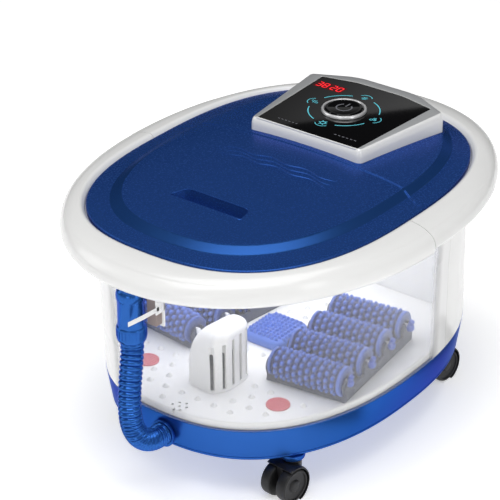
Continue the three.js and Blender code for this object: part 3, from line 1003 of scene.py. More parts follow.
@dataclass
class Rim:
    """The white rim: a deep rolled edge, parted across the middle into a front and a rear moulding."""

    split: float = -14.0
    gap: float = 0.25
    rear_lift: float = 5.0
    rear_proud: float = 0.5  # the rear moulding stands out this far at the sides
    section: tuple[Station, ...] = (
        Station(Oval(148.2, 198.4, 2.66, -2.85), 250.6, 1.2),
        Station(Oval(148.6, 198.8, 2.6, -2.7), 247.0, 0.4),
        Station(Oval(141.0, 190.0, 2.55, -1.0), 247.0, 1.2),
        Station(Oval(141.0, 190.0, 2.55, -1.0), 223.4, 0.6),
        Station(Oval(156.0, 206.0, 2.3, 1.0), 222.3, 4.0),
        Station(Oval(175.6, 227.0, 2.1, 0.0), 225.6, 3.5),
        Station(Oval(181.0, 238.4, 2.07, 0.0), 229.6, 60),
        Station(Oval(182.4, 241.2, 2.07, 0.0), 237.0, 60),
        Station(Oval(178.6, 236.0, 2.12, -0.4), 246.6, 60),
        Station(Oval(167.0, 221.5, 2.3, -1.4), 252.8, 60),
        Station(Oval(152.4, 203.0, 2.6, -2.5), 255.2, 3.5),
    )

    def half(self, front: bool) -> Mesh:
        """Lofts the whole ring and keeps one half; the rear half's lower edge sits a little higher."""
        lift = 0.0 if front else self.rear_lift
        stations = [
            replace(s, z=s.z + lift) if s.oval.a > 170 and s.z < 232 else s for s in self.section
        ]
        bm = lofted(stations, closed=True, steps=7)
        face_out(bm)
        parted(bm, self.split + (-self.gap if front else self.gap), front)
        if not front:
            for v in bm.verts:
                out = Vector((v.co.x, v.co.y, 0)).normalized() * self.rear_proud * MM
                v.co += out if abs(v.co.x) > 0.16 else Vector()
        return bm

    def build(self) -> None:
        """Makes both halves."""
        piece("rim_front", self.half(True), WHITE_ABS, ["front_rim"])
        piece("rim_rear", self.half(False), WHITE_ABS, ["rear_rim"])


@dataclass
class Tub:
    """The tub wall, clear in front and white behind, with a faint swept step round it."""

    low: Oval = Oval(147.3, 195.6, 2.37, 6.7)
    high: Oval = Oval(149.0, 197.0, 2.37, 2.0)
    low_z: float = 78.45
    high_z: float = 222.0
    thick: float = 3.0
    step: float = 0.8
    split: float = 70.0
    socket_hole: tuple[tuple[float, float, float], ...] = ((26, 170, 98), (58, 230, 122))
    rows: tuple[tuple[float, float, int], ...] = (
        (0, 0, 0), (0.5, 0, 0), (1, -0.5, 0), (1, 0.5, 1), (1.5, 0, 1), (2, 0, 1),
    )  # share of the way up to the swept step and on to the top, height over it, whether past the step

    def step_height(self, y: float) -> float:
        """The height of the swept step, which climbs from the front to the rear."""
        share = min(1.0, max(0.0, (y + 175) / 278))
        return 127 + 60 * share * share * (3 - 2 * share)

    def skin(self, out: float, upward: bool) -> list[Points]:
        """The rings of the outer or inner skin, from bottom to top or back."""
        rings = []
        for share, over, proud in self.rows:
            ring = []
            for i in range(SIDES):
                turn = WHOLE * (i + 0.5) / SIDES
                mark = self.step_height(self.low.at(turn, 0).y / MM)
                if share <= 1:
                    z = self.low_z + (mark - self.low_z) * share + over
                else:
                    z = mark + (self.high_z - mark) * (share - 1)
                w = (z - self.low_z) / (self.high_z - self.low_z)
                whole = Station(self.low, self.low_z).toward(Station(self.high, self.high_z), w)
                ring.append(whole.oval.inset(-out - proud * self.step).at(turn, z))
            rings.append(ring)
        return rings if upward else rings[::-1]

    def shell(self) -> Mesh:
        """The whole wall as one closed band."""
        bm = swept(*self.skin(0, True), *self.skin(-self.thick, False), closed=True)
        face_out(bm)
        return bm

    def build(self) -> None:
        """Makes the clear front wall, and the rear wall with the power socket's opening."""
        front = self.shell()
        parted(front, self.split - 0.15, True)
        piece("tub_front", front, CLEAR_WALL, ["tub_wall_front"])
        rear = self.shell()
        parted(rear, self.split + 0.15, False)
        opening = bmesh.new()
        box(opening, *self.socket_hole)
        rear = carved(rear, opening, Cut.TAKE)
        piece("tub_rear", rear, WHITE_ABS, ["tub_wall_rear"])


@dataclass
class BasinFloor:
    """The white floor: small cones, a cluster of air holes, two heat windows and the upright bulkhead."""

    edge: Oval = Oval(143.9, 192.2, 2.37, 6.7)
    low_z: float = 78.5
    top_z: float = FLOOR_TOP
    cone_pitch: float = 19.0
    cone: tuple[float, float, float] = (3.6, 0.9, 3.4)
    holes: tuple[tuple[float, float], ...] = (
        (5.9, -179.4), (9.3, -173.2), (15.7, -170.9), (13.3, -178.1), (11.7, -184.4), (17.9, -183.0),
        (19.9, -176.0),
    )
    cluster: tuple[float, float, float] = (12.5, -177.5, 16)  # the holes' middle and their room
    hole_r: float = 1.45
    bulkhead_y: tuple[float, float] = (122, 125)
    windows: tuple[tuple[float, float], ...] = ((84.5, -121.5), (-63.0, -133.0))
    window_r: float = 11.4
    kept_clear: tuple[tuple[float, float, float, float], ...] = (
        (30, -103, 146, 62), (-136, -103, -20, 62), (-22, -52, 36, 10), (-14, -150, 38, -90),
    )

    def free(self, x: float, y: float) -> bool:
        """Whether a cone may stand here: clear of the fittings, windows, holes and the edge."""
        margin = self.cone[0] + 1.5
        for x0, y0, x1, y1 in self.kept_clear:
            if x0 - margin < x < x1 + margin and y0 - margin < y < y1 + margin:
                return False
        spots = [(wx, wy, self.window_r + margin) for wx, wy in self.windows] + [self.cluster]
        if any(math.hypot(x - sx, y - sy) < r for sx, sy, r in spots):
            return False
        return self.edge.inset(9).gauge(x, y) < 1 and y < 70

    def slab(self) -> Mesh:
        """The floor plate with its rounded edge and air holes."""
        stations = [
            Station(self.edge, self.low_z, 0),
            Station(self.edge, self.top_z - 1.0, 0.8),
            Station(self.edge.inset(1.0), self.top_z, 0.8),
            Station(self.edge.inset(30), self.top_z, 0),
        ]
        drill = bmesh.new()
        for x, y in self.holes:
            cone(drill, at(x, y, self.top_z), self.hole_r, self.hole_r, 9, 16)
        return carved(lofted(stations), drill, Cut.TAKE)

    def cones(self, bm: Mesh) -> None:
        """Stands staggered rows of small cones on the floor."""
        wide, tip, high = self.cone
        rows = int(2 * self.edge.b / self.cone_pitch)
        for row in range(-rows, rows):
            y = row * self.cone_pitch * 0.87 + self.edge.y
            shift = 0.5 * self.cone_pitch * (row % 2)
            for column in range(-9, 10):
                x = column * self.cone_pitch + shift
                if self.free(x, y):
                    cone(bm, at(x, y, self.top_z + 0.5 * high - 0.1), wide, tip, high, 14)

    def build(self) -> None:
        """Makes the floor, its windows and the bulkhead."""
        bm = self.slab()
        self.cones(bm)
        piece("floor_moulding", bm, WHITE_ABS, ["floor_pan"])
        # Dark discs down in the air holes: painted shade
        dark = bmesh.new()
        for x, y in self.holes:
            place = at(x, y, self.top_z - 1.4)
            bmesh.ops.create_circle(dark, cap_ends=True, segments=16, radius=1.4 * MM, matrix=place)
        piece("air_hole_shade", dark, HOLE_SHADE)
        for hand, (x, y) in zip(Hand, self.windows):
            self.window(hand, x, y)
        foot = Station(Oval(142.4, 190.8, 2.37, 6.7), SEAT)
        head = Station(Oval(144.2, 192.3, 2.37, 2.0), 222.0)
        keep = bmesh.new()
        box(keep, (-300, self.bulkhead_y[0], 0), (300, self.bulkhead_y[1], 400))
        wall = carved(lofted([foot, head]), keep, Cut.KEEP)
        piece("bulkhead_panel", wall, WHITE_ABS, ["bulkhead"])

    def window(self, hand: Hand, x: float, y: float) -> None:
        """One ribbed red heat window with a raised edge."""
        bm = bmesh.new()
        r = self.window_r
        z = self.top_z
        profile = [(0, 0.6), (r - 1.4, 0.6), (r - 1.1, 1.3), (r - 0.3, 1.4), (r, 1.0), (r, 0), (0, 0)]
        lathe(bm, profile, at(x, y, z + 0.02), 40)
        for k in range(-3, 4):
            half = math.sqrt((r - 1.6) ** 2 - (2.4 * k) ** 2)
            box(bm, (x - half, y + 2.4 * k - 0.5, z + 0.5), (x + half, y + 2.4 * k + 0.5, z + 1.1), 0.25)
        name = f"heat_window_{hand.label}"
        piece(f"{name}_lens", bm, RED_ACRYLIC, [name])


# ---------------------------------------------------------------- lid, rear cover and pod


@dataclass
class Covers:
    """The domed top: a lift-off front lid with a finger slot, and a fixed rear cover round the pod."""

    edge: Oval = Oval(146.9, 197.1, 2.66, -2.85)
    foot: Oval = Oval(127.5, 183.0, 2.55, 1.0)
    plateau: Oval = Oval(120.0, 174.0, 2.5, 3.0)
    edge_z: float = 247.3
    border_z: float = 253.6
    foot_z: float = 257.0
    shoulder_z: float = 261.6
    crown_rise: float = 9.0
    skin: float = 3.0
    gap: float = 0.3
    seam_line: tuple[tuple[float, float], ...] = (
        (-175, 12), (-140, 17.5), (-112, 25), (-56, 23.7), (0, 23.3), (56, 23.7), (112, 25), (140, 17.5),
        (175, 12),
    )
    slot_corners: tuple[tuple[float, float, float], ...] = (
        (-42.0, -121.0, 3), (42.0, -121.5, 3), (39.5, -102.5, 9), (-33.0, -102.5, 9),
    )
    slot_z: float = 254.0
    wave_at: tuple[float, float] = (-68, -26)
    wave_rows: int = 3
    wave_pitch: float = 6.5

    def crown(self, x: float, y: float) -> float:
        """The height of the domed surface at a point, in millimetres."""
        s = min(1.0, self.plateau.gauge(x, y))
        return self.shoulder_z + self.crown_rise * (1 - s * s)

    def shell(self) -> Mesh:
        """The whole cover as one closed body with a domed top."""
        shares = [0.94, 0.86, 0.76, 0.64, 0.5, 0.36, 0.22, 0.1, 0.03]
        rise = self.crown_rise
        top = [Station(self.plateau.scaled(s), self.shoulder_z + rise * (1 - s * s)) for s in shares]
        under = [replace(s, z=s.z - self.skin) for s in reversed(top)]
        stations = [
            *under,
            Station(self.plateau.inset(self.skin), self.shoulder_z - self.skin, 2),
            Station(self.edge.inset(18), self.border_z - self.skin + 1.5, 3),
            Station(self.edge.inset(4), self.border_z - self.skin, 1),
            Station(self.edge.inset(3), self.edge_z, 0.5),
            Station(self.edge, self.edge_z, 0.8),
            Station(self.edge, self.border_z - 0.4, 1.5),
            Station(self.edge.inset(2.6), self.border_z, 2.0),
            Station(self.foot, self.foot_z, 0.9),
            Station(self.plateau, self.shoulder_z, 1.2),
            *top,
        ]
        return lofted(stations, steps=4)

    def side_of_seam(self, front: bool, gap: float) -> Mesh:
        """A tall block that fills everything on one side of the seam."""
        line = catmull([Vector((x, y, 0)) for x, y in self.seam_line], 6.0)
        edge = [(p.x, p.y + (-gap if front else gap)) for p in line]
        far = -400 if front else 400
        points = [(-175, far), *edge, (175, far)]
        return self.block(points)

    def block(self, points: Flat) -> Mesh:
        """A tall block with this outline, to cut the cover with."""
        return swept(level(points, 200), level(points, 330))

    def bead(self, bm: Mesh, points: Flat, r: float, closed: bool) -> None:
        """Lays a fine rounded lip on the dome along a line."""
        path = [Vector((x, y, self.surface(x, y) - 0.55 * r)) * MM for x, y in points]
        tube(bm, path, lambda i: r * MM, 8, closed)

    def surface(self, x: float, y: float) -> float:
        """The height of the cover's top at a point: dome, step or border."""
        if self.plateau.gauge(x, y) <= 1:
            return self.crown(x, y)
        out = self.foot.gauge(x, y)
        if out <= 1:
            inner = self.plateau.gauge(x, y)
            share = (inner - 1) / max(1e-6, inner - 1 + 1 - out)
            return self.shoulder_z + (self.foot_z - self.shoulder_z) * share
        rim = self.edge.inset(2.6).gauge(x, y)
        share = min(1.0, (out - 1) / max(1e-6, out - 1 + max(0.0, 1 - rim)))
        return self.foot_z + (self.border_z - self.foot_z) * share

    def seam_points(self, shift: float) -> Flat:
        """The seam's line on the cover, moved forward or back."""
        line = catmull([Vector((x, y, 0)) for x, y in self.seam_line], 4.0)
        return [(p.x, p.y + shift) for p in line if self.edge.inset(3.0).gauge(p.x, p.y) < 1]

    def cup(self, bm: Mesh, hole: Flat) -> None:
        """The finger slot's sunken cup, which hangs from the lid."""
        sloped = grown(hole, -2.2)
        wall = grown(hole, 2.0)
        inner_top = [Vector((x, y, self.crown(x, y) - 0.4)) * MM for x, y in hole]
        outer_top = [Vector((x, y, self.crown(x, y) - 1.2)) * MM for x, y in wall]
        rings = [
            level(grown(hole, -4.2), self.slot_z),
            level(sloped, self.slot_z + 1.4),
            inner_top,
            outer_top,
            level(wall, 251.6),
        ]
        sweep(bm, rings)
        face_out(bm)

    def lid(self) -> Mesh:
        """The front lid with its cup and the fine lips of its edges."""
        hole = outline(self.slot_corners, 7)
        bm = carved(self.shell(), self.side_of_seam(True, self.gap), Cut.KEEP)
        bm = carved(bm, self.block(hole), Cut.TAKE)
        self.cup(bm, hole)
        self.bead(bm, grown(hole, 0.2), 0.75, True)
        self.bead(bm, self.seam_points(-0.9), 0.6, False)
        self.mark_step(bm)
        return bm

    def mark_step(self, bm: Mesh) -> None:
        """Gives the sloped faces of the step round the dome the second finish, the lighter copy that paints
        their highlight.
        """
        for face in bm.faces:
            spot = face.calc_center_median() / MM
            outside = self.plateau.gauge(spot.x, spot.y) > 0.97
            sloped = outside and self.foot.gauge(spot.x, spot.y) < 1.01 and 0.3 < face.normal.z < 0.97
            face.material_index = 1 if sloped else 0

    def waves(self) -> Mesh:
        """A raised pattern of three water waves on the lid."""
        bm = bmesh.new()
        left, front = self.wave_at
        for row in range(self.wave_rows):
            points = []
            for k in range(81):
                x = left + 1.7 * k
                points.append((x, front + self.wave_pitch * row + 2.0 * math.sin(x / 6.2 + 1.2 * row)))
            path = [Vector((x, y, self.crown(x, y) - 0.35)) * MM for x, y in points]
            tube(bm, path, lambda i: 1.1 * math.sin(math.pi * (i + 2) / 84) ** 0.4 * MM, 8)
        return bm

    def build(self, pod: Flat) -> None:
        """Makes the lid, its relief and the rear cover.

        Args:
            pod: the pod's outline, for the hole in the rear cover.
        """
        # The navy, and its lighter copy that paints a highlight on the step
        both, slot, lid = [NAVY_ABS, NAVY_STEP_HIGHLIGHT], "navy_gloss_abs", "front_lid"
        piece("lid_shell", self.lid(), both, [lid], lid)
        piece("lid_wave_relief", self.waves(), NAVY_ABS, (), lid)
        bm = carved(self.shell(), self.side_of_seam(False, self.gap), Cut.KEEP)
        bm = carved(bm, self.block(grown(pod, self.gap)), Cut.TAKE)
        self.bead(bm, self.seam_points(0.9), 0.6, False)
        self.bead(bm, grown(pod, 1.3), 0.9, True)
        self.mark_step(bm)
        piece("rear_cover_shell", bm, both, ["rear_cover"])


@dataclass
class ControlPod:
    """The raised control pod: white sides, a brushed silver face, a black panel and one big button."""

    body: tuple[tuple[float, float, float], ...] = (
        (-65, 31, 7), (65, 31, 7), (81, 151.5, 8), (36, 173.5, 60), (-36, 173.5, 60), (-81, 151.5, 8),
    )
    panel: tuple[tuple[float, float, float], ...] = (
        (-58, 33.3, 1.2), (59, 33.3, 1.2), (65, 150.5, 1.2), (27, 159, 60), (-27, 159, 60),
        (-65, 150.5, 1.2),
    )
    top: float = 281.4
    floor_z: float = 254.0
    button_y: float = 96.8
    button_r: float = 18.4
    chrome_r: float = 22.3
    legend_r: float = 35.0
    display: tuple[float, float] = (-43.5, 134.0)

    def shape(self) -> Flat:
        """The pod's outline."""
        return outline(self.body, 9)

    def bezel(self) -> None:
        """The pod's shell: white sides and a silver face round the panel's pocket."""
        body, panel = self.shape(), outline(self.panel, 9)
        rings = [
            level(body, self.floor_z),
            level(body, self.top - 9.0),
            level(grown(body, -0.3), self.top - 6.0),
            level(grown(body, -1.0), self.top - 3.2),
            level(grown(body, -1.9), self.top - 1.4),
            level(grown(body, -2.8), self.top - 0.4),
            level(grown(body, -3.6), self.top),
            level(grown(panel, 0.5), self.top - 0.1),
            level(grown(panel, 0.3), self.top - 0.5),
            level(grown(panel, 0.3), self.top - 2.7),
            level(grown(panel, -2.5), self.top - 2.7),
            level(grown(panel, -2.5), self.floor_z + 3),
        ]
        bm = swept(*rings)
        face_out(bm)
        for face in bm.faces:
            high = face.calc_center_median().z > (self.top - 0.3) * MM
            face.material_index = 1 if high and face.normal.z > 0.5 else 0
        piece("pod_shell", bm, [WHITE_ABS, SILVER_LACQUER], ["pod_bezel"])

    def glass(self) -> None:
        """The black panel with ground edges."""
        panel = outline(self.panel, 9)
        rings = [
            level(grown(panel, -0.1), self.top - 2.4),
            level(panel, self.top - 2.2),
            level(panel, self.top - 0.4),
            level(grown(panel, -0.35), self.top - 0.1),
        ]
        piece("pod_panel", swept(*rings), PANEL_GLASS, ["pod_glass"])

    def button(self) -> None:
        """The chrome ring and the dished black button with its power mark."""
        ring = bmesh.new()
        r = self.chrome_r
        profile = [
            (r - 2.9, 0), (r, 0), (r, 1.2), (r - 0.2, 2.1), (r - 0.8, 2.8), (r - 1.5, 3.0),
            (r - 2.3, 2.7), (r - 2.8, 2.0), (r - 2.9, 0),
        ]
        lathe(ring, profile, at(0, self.button_y, self.top + 0.3), 72)
        piece("chrome_ring", ring, CHROME, ["control_ring"])
        cap = bmesh.new()
        b = self.button_r
        profile = [
            (0, 1.0), (b * 0.5, 1.12), (b * 0.8, 1.4), (b - 1.2, 1.6), (b - 0.4, 1.5), (b, 1.1),
            (b, 0), (6, 0), (6, -10.5), (0, -10.5),
        ]
        low = self.top + 1.9
        lathe(cap, profile, at(0, self.button_y, low), 64)
        piece("button_cap", cap, PANEL_GLASS, ["power_button"], "power_button")
        mark = bmesh.new()
        self.arc(mark, (0, self.button_y), 7.6, 125, 415, 0.75, low + 1.22, 36)
        self.bar(mark, (0, self.button_y + 6.4), (1.4, 8.0), 0, low + 1.2)
        piece("button_mark", mark, GREY_LEGEND, (), "power_button")

    def arc(
        self,
        bm: Mesh,
        centre: tuple[float, float],
        r: float,
        start: float,
        end: float,
        half: float,
        z: float,
        steps: int = 20,
    ) -> None:
        """Prints one flat arc of a ring.

        Args:
            bm: the mesh to add to.
            centre: its centre.
            r: its middle radius.
            start: the angle it starts at, in degrees.
            end: the angle it ends at.
            half: half its width.
            z: the height of its face.
            steps: pieces along it.
        """
        profile = [(r - half, 0), (r + half, 0), (r + half, 0.06), (r - half, 0.06), (r - half, 0)]
        turn = math.radians(end - start)
        lathe(bm, profile, at(*centre, z), steps, turn, math.radians(start))

    def bar(
        self, bm: Mesh, centre: tuple[float, float], size: tuple[float, float], angle: float, z: float
    ) -> None:
        """Prints one flat bar of this width and height, turned by an angle in degrees."""
        shape = Matrix.Diagonal((size[0] * MM, size[1] * MM, 0.06 * MM, 1))
        bmesh.ops.create_cube(bm, size=1, matrix=at(*centre, z + 0.03) @ turned(angle, "Z") @ shape)

    def legends(self) -> None:
        """Cyan arcs round the button, and four plain signs: bubbles, waves, warmth and a roller."""
        bm = bmesh.new()
        z = self.top - 0.1
        here = (0.0, self.button_y)
        for middle in (45, 135, 225, 315):
            self.arc(bm, here, self.legend_r, middle - 24, middle + 24, 0.55, z)
        r = self.legend_r
        for angle in (0, 90, 180, 270):
            turn = math.radians(angle)
            cx, cy = r * math.cos(turn), self.button_y + r * math.sin(turn)
            self.arc(bm, (cx, cy), 7.4, angle - 62, angle + 62, 0.4, z, 12)
            self.sign(bm, angle, cx, cy, z)
        piece("panel_legends", bm, CYAN_GLOW)
        marks = bmesh.new()
        for k in range(6):
            self.bar(marks, (-40 + 4.2 * k, 45), (2.2, 1.0), 0, z)
            self.bar(marks, (25 + 4.6 * k, 47.5), (2.4, 1.2), 0, z)
        piece("panel_marks", marks, GREY_LEGEND)

    def sign(self, bm: Mesh, angle: int, x: float, y: float, z: float) -> None:
        """Prints the plain sign for one function."""
        if angle == 0:
            for dx, dy, r in ((-1.8, -1.4, 1.5), (1.8, -0.6, 1.1), (0.2, 2.2, 1.3)):
                self.arc(bm, (x + dx, y + dy), r, 0, 360, 0.4, z, 14)
        elif angle == 90:
            for row in (-2, 0, 2):
                self.bar(bm, (x, y + row), (6.5 - abs(row), 0.9), 8, z)
        elif angle == 180:
            for column in (-2.2, 0, 2.2):
                self.arc(bm, (x + column, y - 1.3), 1.5, -60, 60, 0.4, z, 8)
                self.arc(bm, (x + column, y + 1.3), 1.5, 120, 240, 0.4, z, 8)
        else:
            self.arc(bm, (x, y), 2.6, 0, 360, 0.5, z, 18)
            for k in range(6):
                turn = math.radians(60 * k)
                self.bar(bm, (x + 4 * math.cos(turn), y + 4 * math.sin(turn)), (0.9, 1.6), 60 * k - 90, z)

    def digits(self) -> None:
        """A four-figure red display, in seven strokes a figure, behind the panel."""
        strokes = {"8": "abcdefg", "2": "abged", "0": "abcdef", "3": "abgcd"}
        places = {
            "a": (0, 4.6, 0), "g": (0, 0, 0), "d": (0, -4.6, 0), "f": (-2.3, 2.3, 90),
            "b": (2.3, 2.3, 90), "e": (-2.3, -2.3, 90), "c": (2.3, -2.3, 90),
        }
        bm = bmesh.new()
        z = self.top - 0.02
        cx, cy = self.display
        for k, figure in enumerate("3820"):
            shift = -12.3 + 7.4 * k + (2.2 if k > 1 else 0)
            for stroke in strokes[figure]:
                dx, dy, angle = places[stroke]
                self.bar(bm, (cx + shift + dx, cy + dy), (3.8, 1.1), angle, z)
        piece("display_figures", bm, RED_GLOW)
        plate = rectangle(cx, cy, 17, 7, 2, 4)
        window = swept(level(plate, self.top - 0.12), level(plate, self.top - 0.06))
        piece("display_window", window, RED_HALO)

    def build(self) -> None:
        """Makes the pod and dresses what is inside it."""
        self.bezel()
        self.glass()
        self.button()
        self.legends()
        self.digits()


# ---------------------------------------------------------------- basin fittings


@dataclass
class RollerBank:
    """One tray of four knobbed rollers on fixed shafts, toed in towards the rear."""

    hand: Hand
    middle: tuple[float, float] = (77.5, -20.0)
    shift: float = 5.0
    toe_in: float = 7.0
    half_x: float = 42.25
    front_y: float = -67.0
    rear_y: float = 68.0
    floor_z: float = SEAT
    axle_z: float = 104.3
    first_y: float = -60.0
    pitch: float = 39.5
    length: float = 77.0
    tip_r: float = 15.6
    root_r: float = 11.2
    rings: int = 10
    knobs: int = 12
    crests: tuple[tuple[float, float], ...] = (
        (0.0, 0.0), (0.16, 0.16), (0.3, 0.78), (0.4, 1.0), (0.6, 1.0), (0.7, 0.78), (0.84, 0.16),
    )  # a ring of teeth in section: share of its width, share of its height

    def rows(self) -> list[float]:
        """Where the four shafts are in the bank's own frame."""
        return [self.first_y + i * self.pitch for i in range(4)]

    def frame(self) -> Matrix:
        """The bank's own frame in the basin's."""
        side = self.hand.value
        return at(side * self.middle[0] + self.shift, self.middle[1], 0) @ turned(side * self.toe_in, "Z")

    def placed(self, y: float) -> Matrix:
        """A shaft's place, with the lathe's axis pointing outwards from the roller's inner end."""
        side = self.hand.value
        return self.frame() @ at(-0.5 * side * self.length, y, self.axle_z) @ turned(90 * side, "Y")

    def knobbed(self, y: float) -> Mesh:
        """One roller: rings of blunt teeth with grooves between them, and a plain disc at each end."""
        bm = bmesh.new()
        sides = 8 * self.knobs
        start, body = 5.0, self.length - 10.0
        place = self.placed(y)
        # How far each point stands out; the roller finish paints shade into the grooves by it
        bm.verts.layers.float.new("tooth")
        heights: list[float] = []
        rings: list[Points] = []

        def ring(h: float, radius: Callable[[float], float]) -> None:
            """Adds one ring and keeps how far each of its points stands out."""
            rings.append(self.circle(place, sides, h, radius))
            for i in range(sides):
                r = radius(WHOLE * i / sides)
                heights.append(min(1.0, max(0.0, (r - self.root_r) / (self.tip_r - self.root_r))))

        for r, h in ((3.6, 0.0), (12.6, 0.0), (13.6, 0.8), (13.6, 3.0), (11.2, 3.8)):
            ring(h, lambda t, r=r: r)
        pitch = body / self.rings
        for k in range(self.rings):
            shift = 0.5 * (k % 2)
            for share, crest in self.crests:

                def radius(t: float, crest: float = crest, shift: float = shift) -> float:
                    """A tooth is widest at its foot and stands on a low band."""
                    turn = (t * self.knobs / WHOLE + shift) % 1.0
                    flank = max(0.0, 1 - abs(turn - 0.5) / 0.42)
                    stand = min(1.0, 1.5 * flank) ** 0.9
                    return self.root_r + (self.tip_r - self.root_r) * crest * (0.22 + 0.78 * stand)

                ring(start + pitch * (k + share), radius)
        for r, h in ((11.2, -4.4), (13.8, -3.6), (14.6, -3.0), (14.6, -0.8), (13.8, 0.0), (3.6, 0.0)):
            ring(self.length + h, lambda t, r=r: r)
        ring(0.5 * self.length, lambda t: 3.5)
        before = len(bm.verts)
        sweep(bm, rings, closed=True)
        bm.verts.ensure_lookup_table()
        order = bm.verts.layers.int["order"]
        tooth = bm.verts.layers.float["tooth"]
        for i, v in enumerate(bm.verts[before:]):
            v[tooth] = heights[(i // sides) * sides + v[order]]
        face_out(bm)
        return bm

    def circle(self, place: Matrix, sides: int, h: float, radius: Callable[[float], float]) -> Points:
        """A ring round a shaft, with a radius for each turn."""
        points = []
        for i in range(sides):
            t = WHOLE * i / sides
            r = radius(t)
            points.append(place @ (Vector((r * math.cos(t), r * math.sin(t), h)) * MM))
        return points

    def shaft(self, y: float) -> Mesh:
        """One white shaft with a blue ball peg and a lug at its outer end."""
        bm = bmesh.new()
        low = 0.5 * self.length - self.half_x + 0.4
        place = self.placed(y) @ at(0, 0, low)
        long = 2 * self.half_x + 0.8
        lathe(bm, [(0, 0), (3.0, 0), (3.1, 0.4), (3.1, long - 0.5), (2.8, long), (0, long)], place, 20)
        count = len(bm.faces)
        end = place @ at(0, 0, long - (1.6 if y == self.first_y else -0.6))
        ball = [(4.2 * math.sin(math.pi * k / 12), -4.2 * math.cos(math.pi * k / 12)) for k in range(13)]
        lathe(bm, ball, end @ at(0, 0, 0.6), 20)
        lug = [(0, 0), (2.4, 0), (2.7, 0.6), (2.7, 5.4), (2.0, 6.0), (0, 6.0)]
        lathe(bm, lug, end @ at(-2.6, 0, 0.2) @ turned(-65, "Y"), 14)
        bm.faces.ensure_lookup_table()
        for face in bm.faces[count:]:
            face.material_index = 1
        return bm

    def tray(self) -> Mesh:
        """The tray: a plate with sloped ends, and cheeks that rise in a hump at each shaft."""
        bm = bmesh.new()
        z = self.floor_z
        xs = (-self.half_x, self.half_x)
        box(bm, (xs[0], self.front_y + 3, z), (xs[1], self.rear_y - 2, z + 1.7), 0.5)
        front, rear = self.front_y, self.rear_y
        lip = [(front - 1.5, z), (front + 3, z), (front + 3, z + 6.0), (front + 1.2, z + 6.2)]
        tail = [(rear, z), (rear - 1, z + 4.5), (rear - 4, z + 4.5), (rear - 4, z)]
        for slope in (lip, tail):
            sweep(bm, [[Vector((x, y, h)) * MM for y, h in slope] for x in xs])
        for x in (-self.half_x, self.half_x - 3):
            sweep(bm, [[Vector((fx, y, h)) * MM for y, h in self.cheek()] for fx in (x, x + 3)])
        face_out(bm)
        bmesh.ops.transform(bm, verts=bm.verts, matrix=self.frame())
        return bm

    def cheek(self) -> Flat:
        """The outline of a cheek seen from the side: a low wall with a notched hump at each shaft."""
        z = self.floor_z
        points = [(self.front_y, z), (self.front_y, z + 6)]
        for y in self.rows():
            hump = []
            for k in range(8):
                angle = math.radians(205 - 90 * k / 7)
                hump.append((9.5 * math.cos(angle), 9.5 * math.sin(angle) - 3.6))
            hump += [(-3.5, 4.6), (-3.5, -3.5)]
            points += [(y + dx, self.axle_z + dz) for dx, dz in hump]
            points += [(y - dx, self.axle_z + dz) for dx, dz in reversed(hump)]
        return [*points, (self.rear_y, z + 6), (self.rear_y, z)]

    def build(self) -> None:
        """Makes the tray, the rollers and the shafts."""
        label = self.hand.label
        piece(f"tray_{label}", self.tray(), TRAY_PP, [f"roller_tray_{label}"], bevel=0.4)
        for i, y in enumerate(self.rows(), 1):
            roller = f"roller_{label}_{i}"
            piece(f"{roller}_sleeve", self.knobbed(y), ROLLER_PP, [roller], roller)
            shaft = f"axle_{label}_{i}"
            piece(f"{shaft}_shaft", self.shaft(y), [AXLE_POM, SHAFT_END_PP], [shaft])


@dataclass
class FootPad:
    """The nubbed pad between the roller banks, with cut corners and two side tabs."""

    half_x: float = 23.0
    half_y: float = 26.0
    x: float = 7.0
    y: float = -21.5
    floor_z: float = SEAT
    high: float = 9.4
    nub_pitch: float = 5.0

    def build(self) -> None:
        """Makes the domed pad, its nubs and its tabs."""
        hx, hy, x, y = self.half_x, self.half_y, self.x, self.y
        base = rectangle(x, y, hx, hy, 11, 8)
        bm = bmesh.new()
        top = self.floor_z + self.high
        steps = (
            (-0.6, self.floor_z), (0, self.floor_z + 1.2), (0, top - 4.2), (-0.4, top - 2.6),
            (-1.4, top - 1.3), (-3.2, top - 0.5), (-7.0, top - 0.1),
        )
        sweep(bm, [level(grown(base, out), z) for out, z in steps])
        for side in (-1, 1):
            tx, ty = x + side * (hx - 2), y + side * 9
            tab = rectangle(tx, ty, 5, 6, 2, 4)
            low = self.floor_z
            sweep(bm, [level(tab, low), level(tab, low + 3), level(grown(tab, -0.7), low + 3.6)])
        face_out(bm)
        self.nubs(bm, top)
        piece("pad_moulding", bm, PAD_TPE, ["centre_pad"])

    def nubs(self, bm: Mesh, top: float) -> None:
        """Sets a grid of round nubs on the pad."""
        count = int(self.half_y / self.nub_pitch)
        for i in range(-count, count + 1):
            for j in range(-count, count + 1):
                dx, dy = i * self.nub_pitch, j * self.nub_pitch
                if abs(dx) > self.half_x - 2.6 or abs(dy) > self.half_y - 2.6:
                    continue
                if abs(dx) + abs(dy) > self.half_x + self.half_y - 10:
                    continue
                edge = max(abs(dx) / self.half_x, abs(dy) / self.half_y)
                drop = 2.0 * max(0.0, edge - 0.78) / 0.22
                nub = [(0, 2.6), (0.9, 2.3), (1.5, 1.2), (1.8, 0), (1.8, -2), (0, -2)]
                lathe(bm, nub, at(self.x + dx, self.y + dy, top - drop), 10)


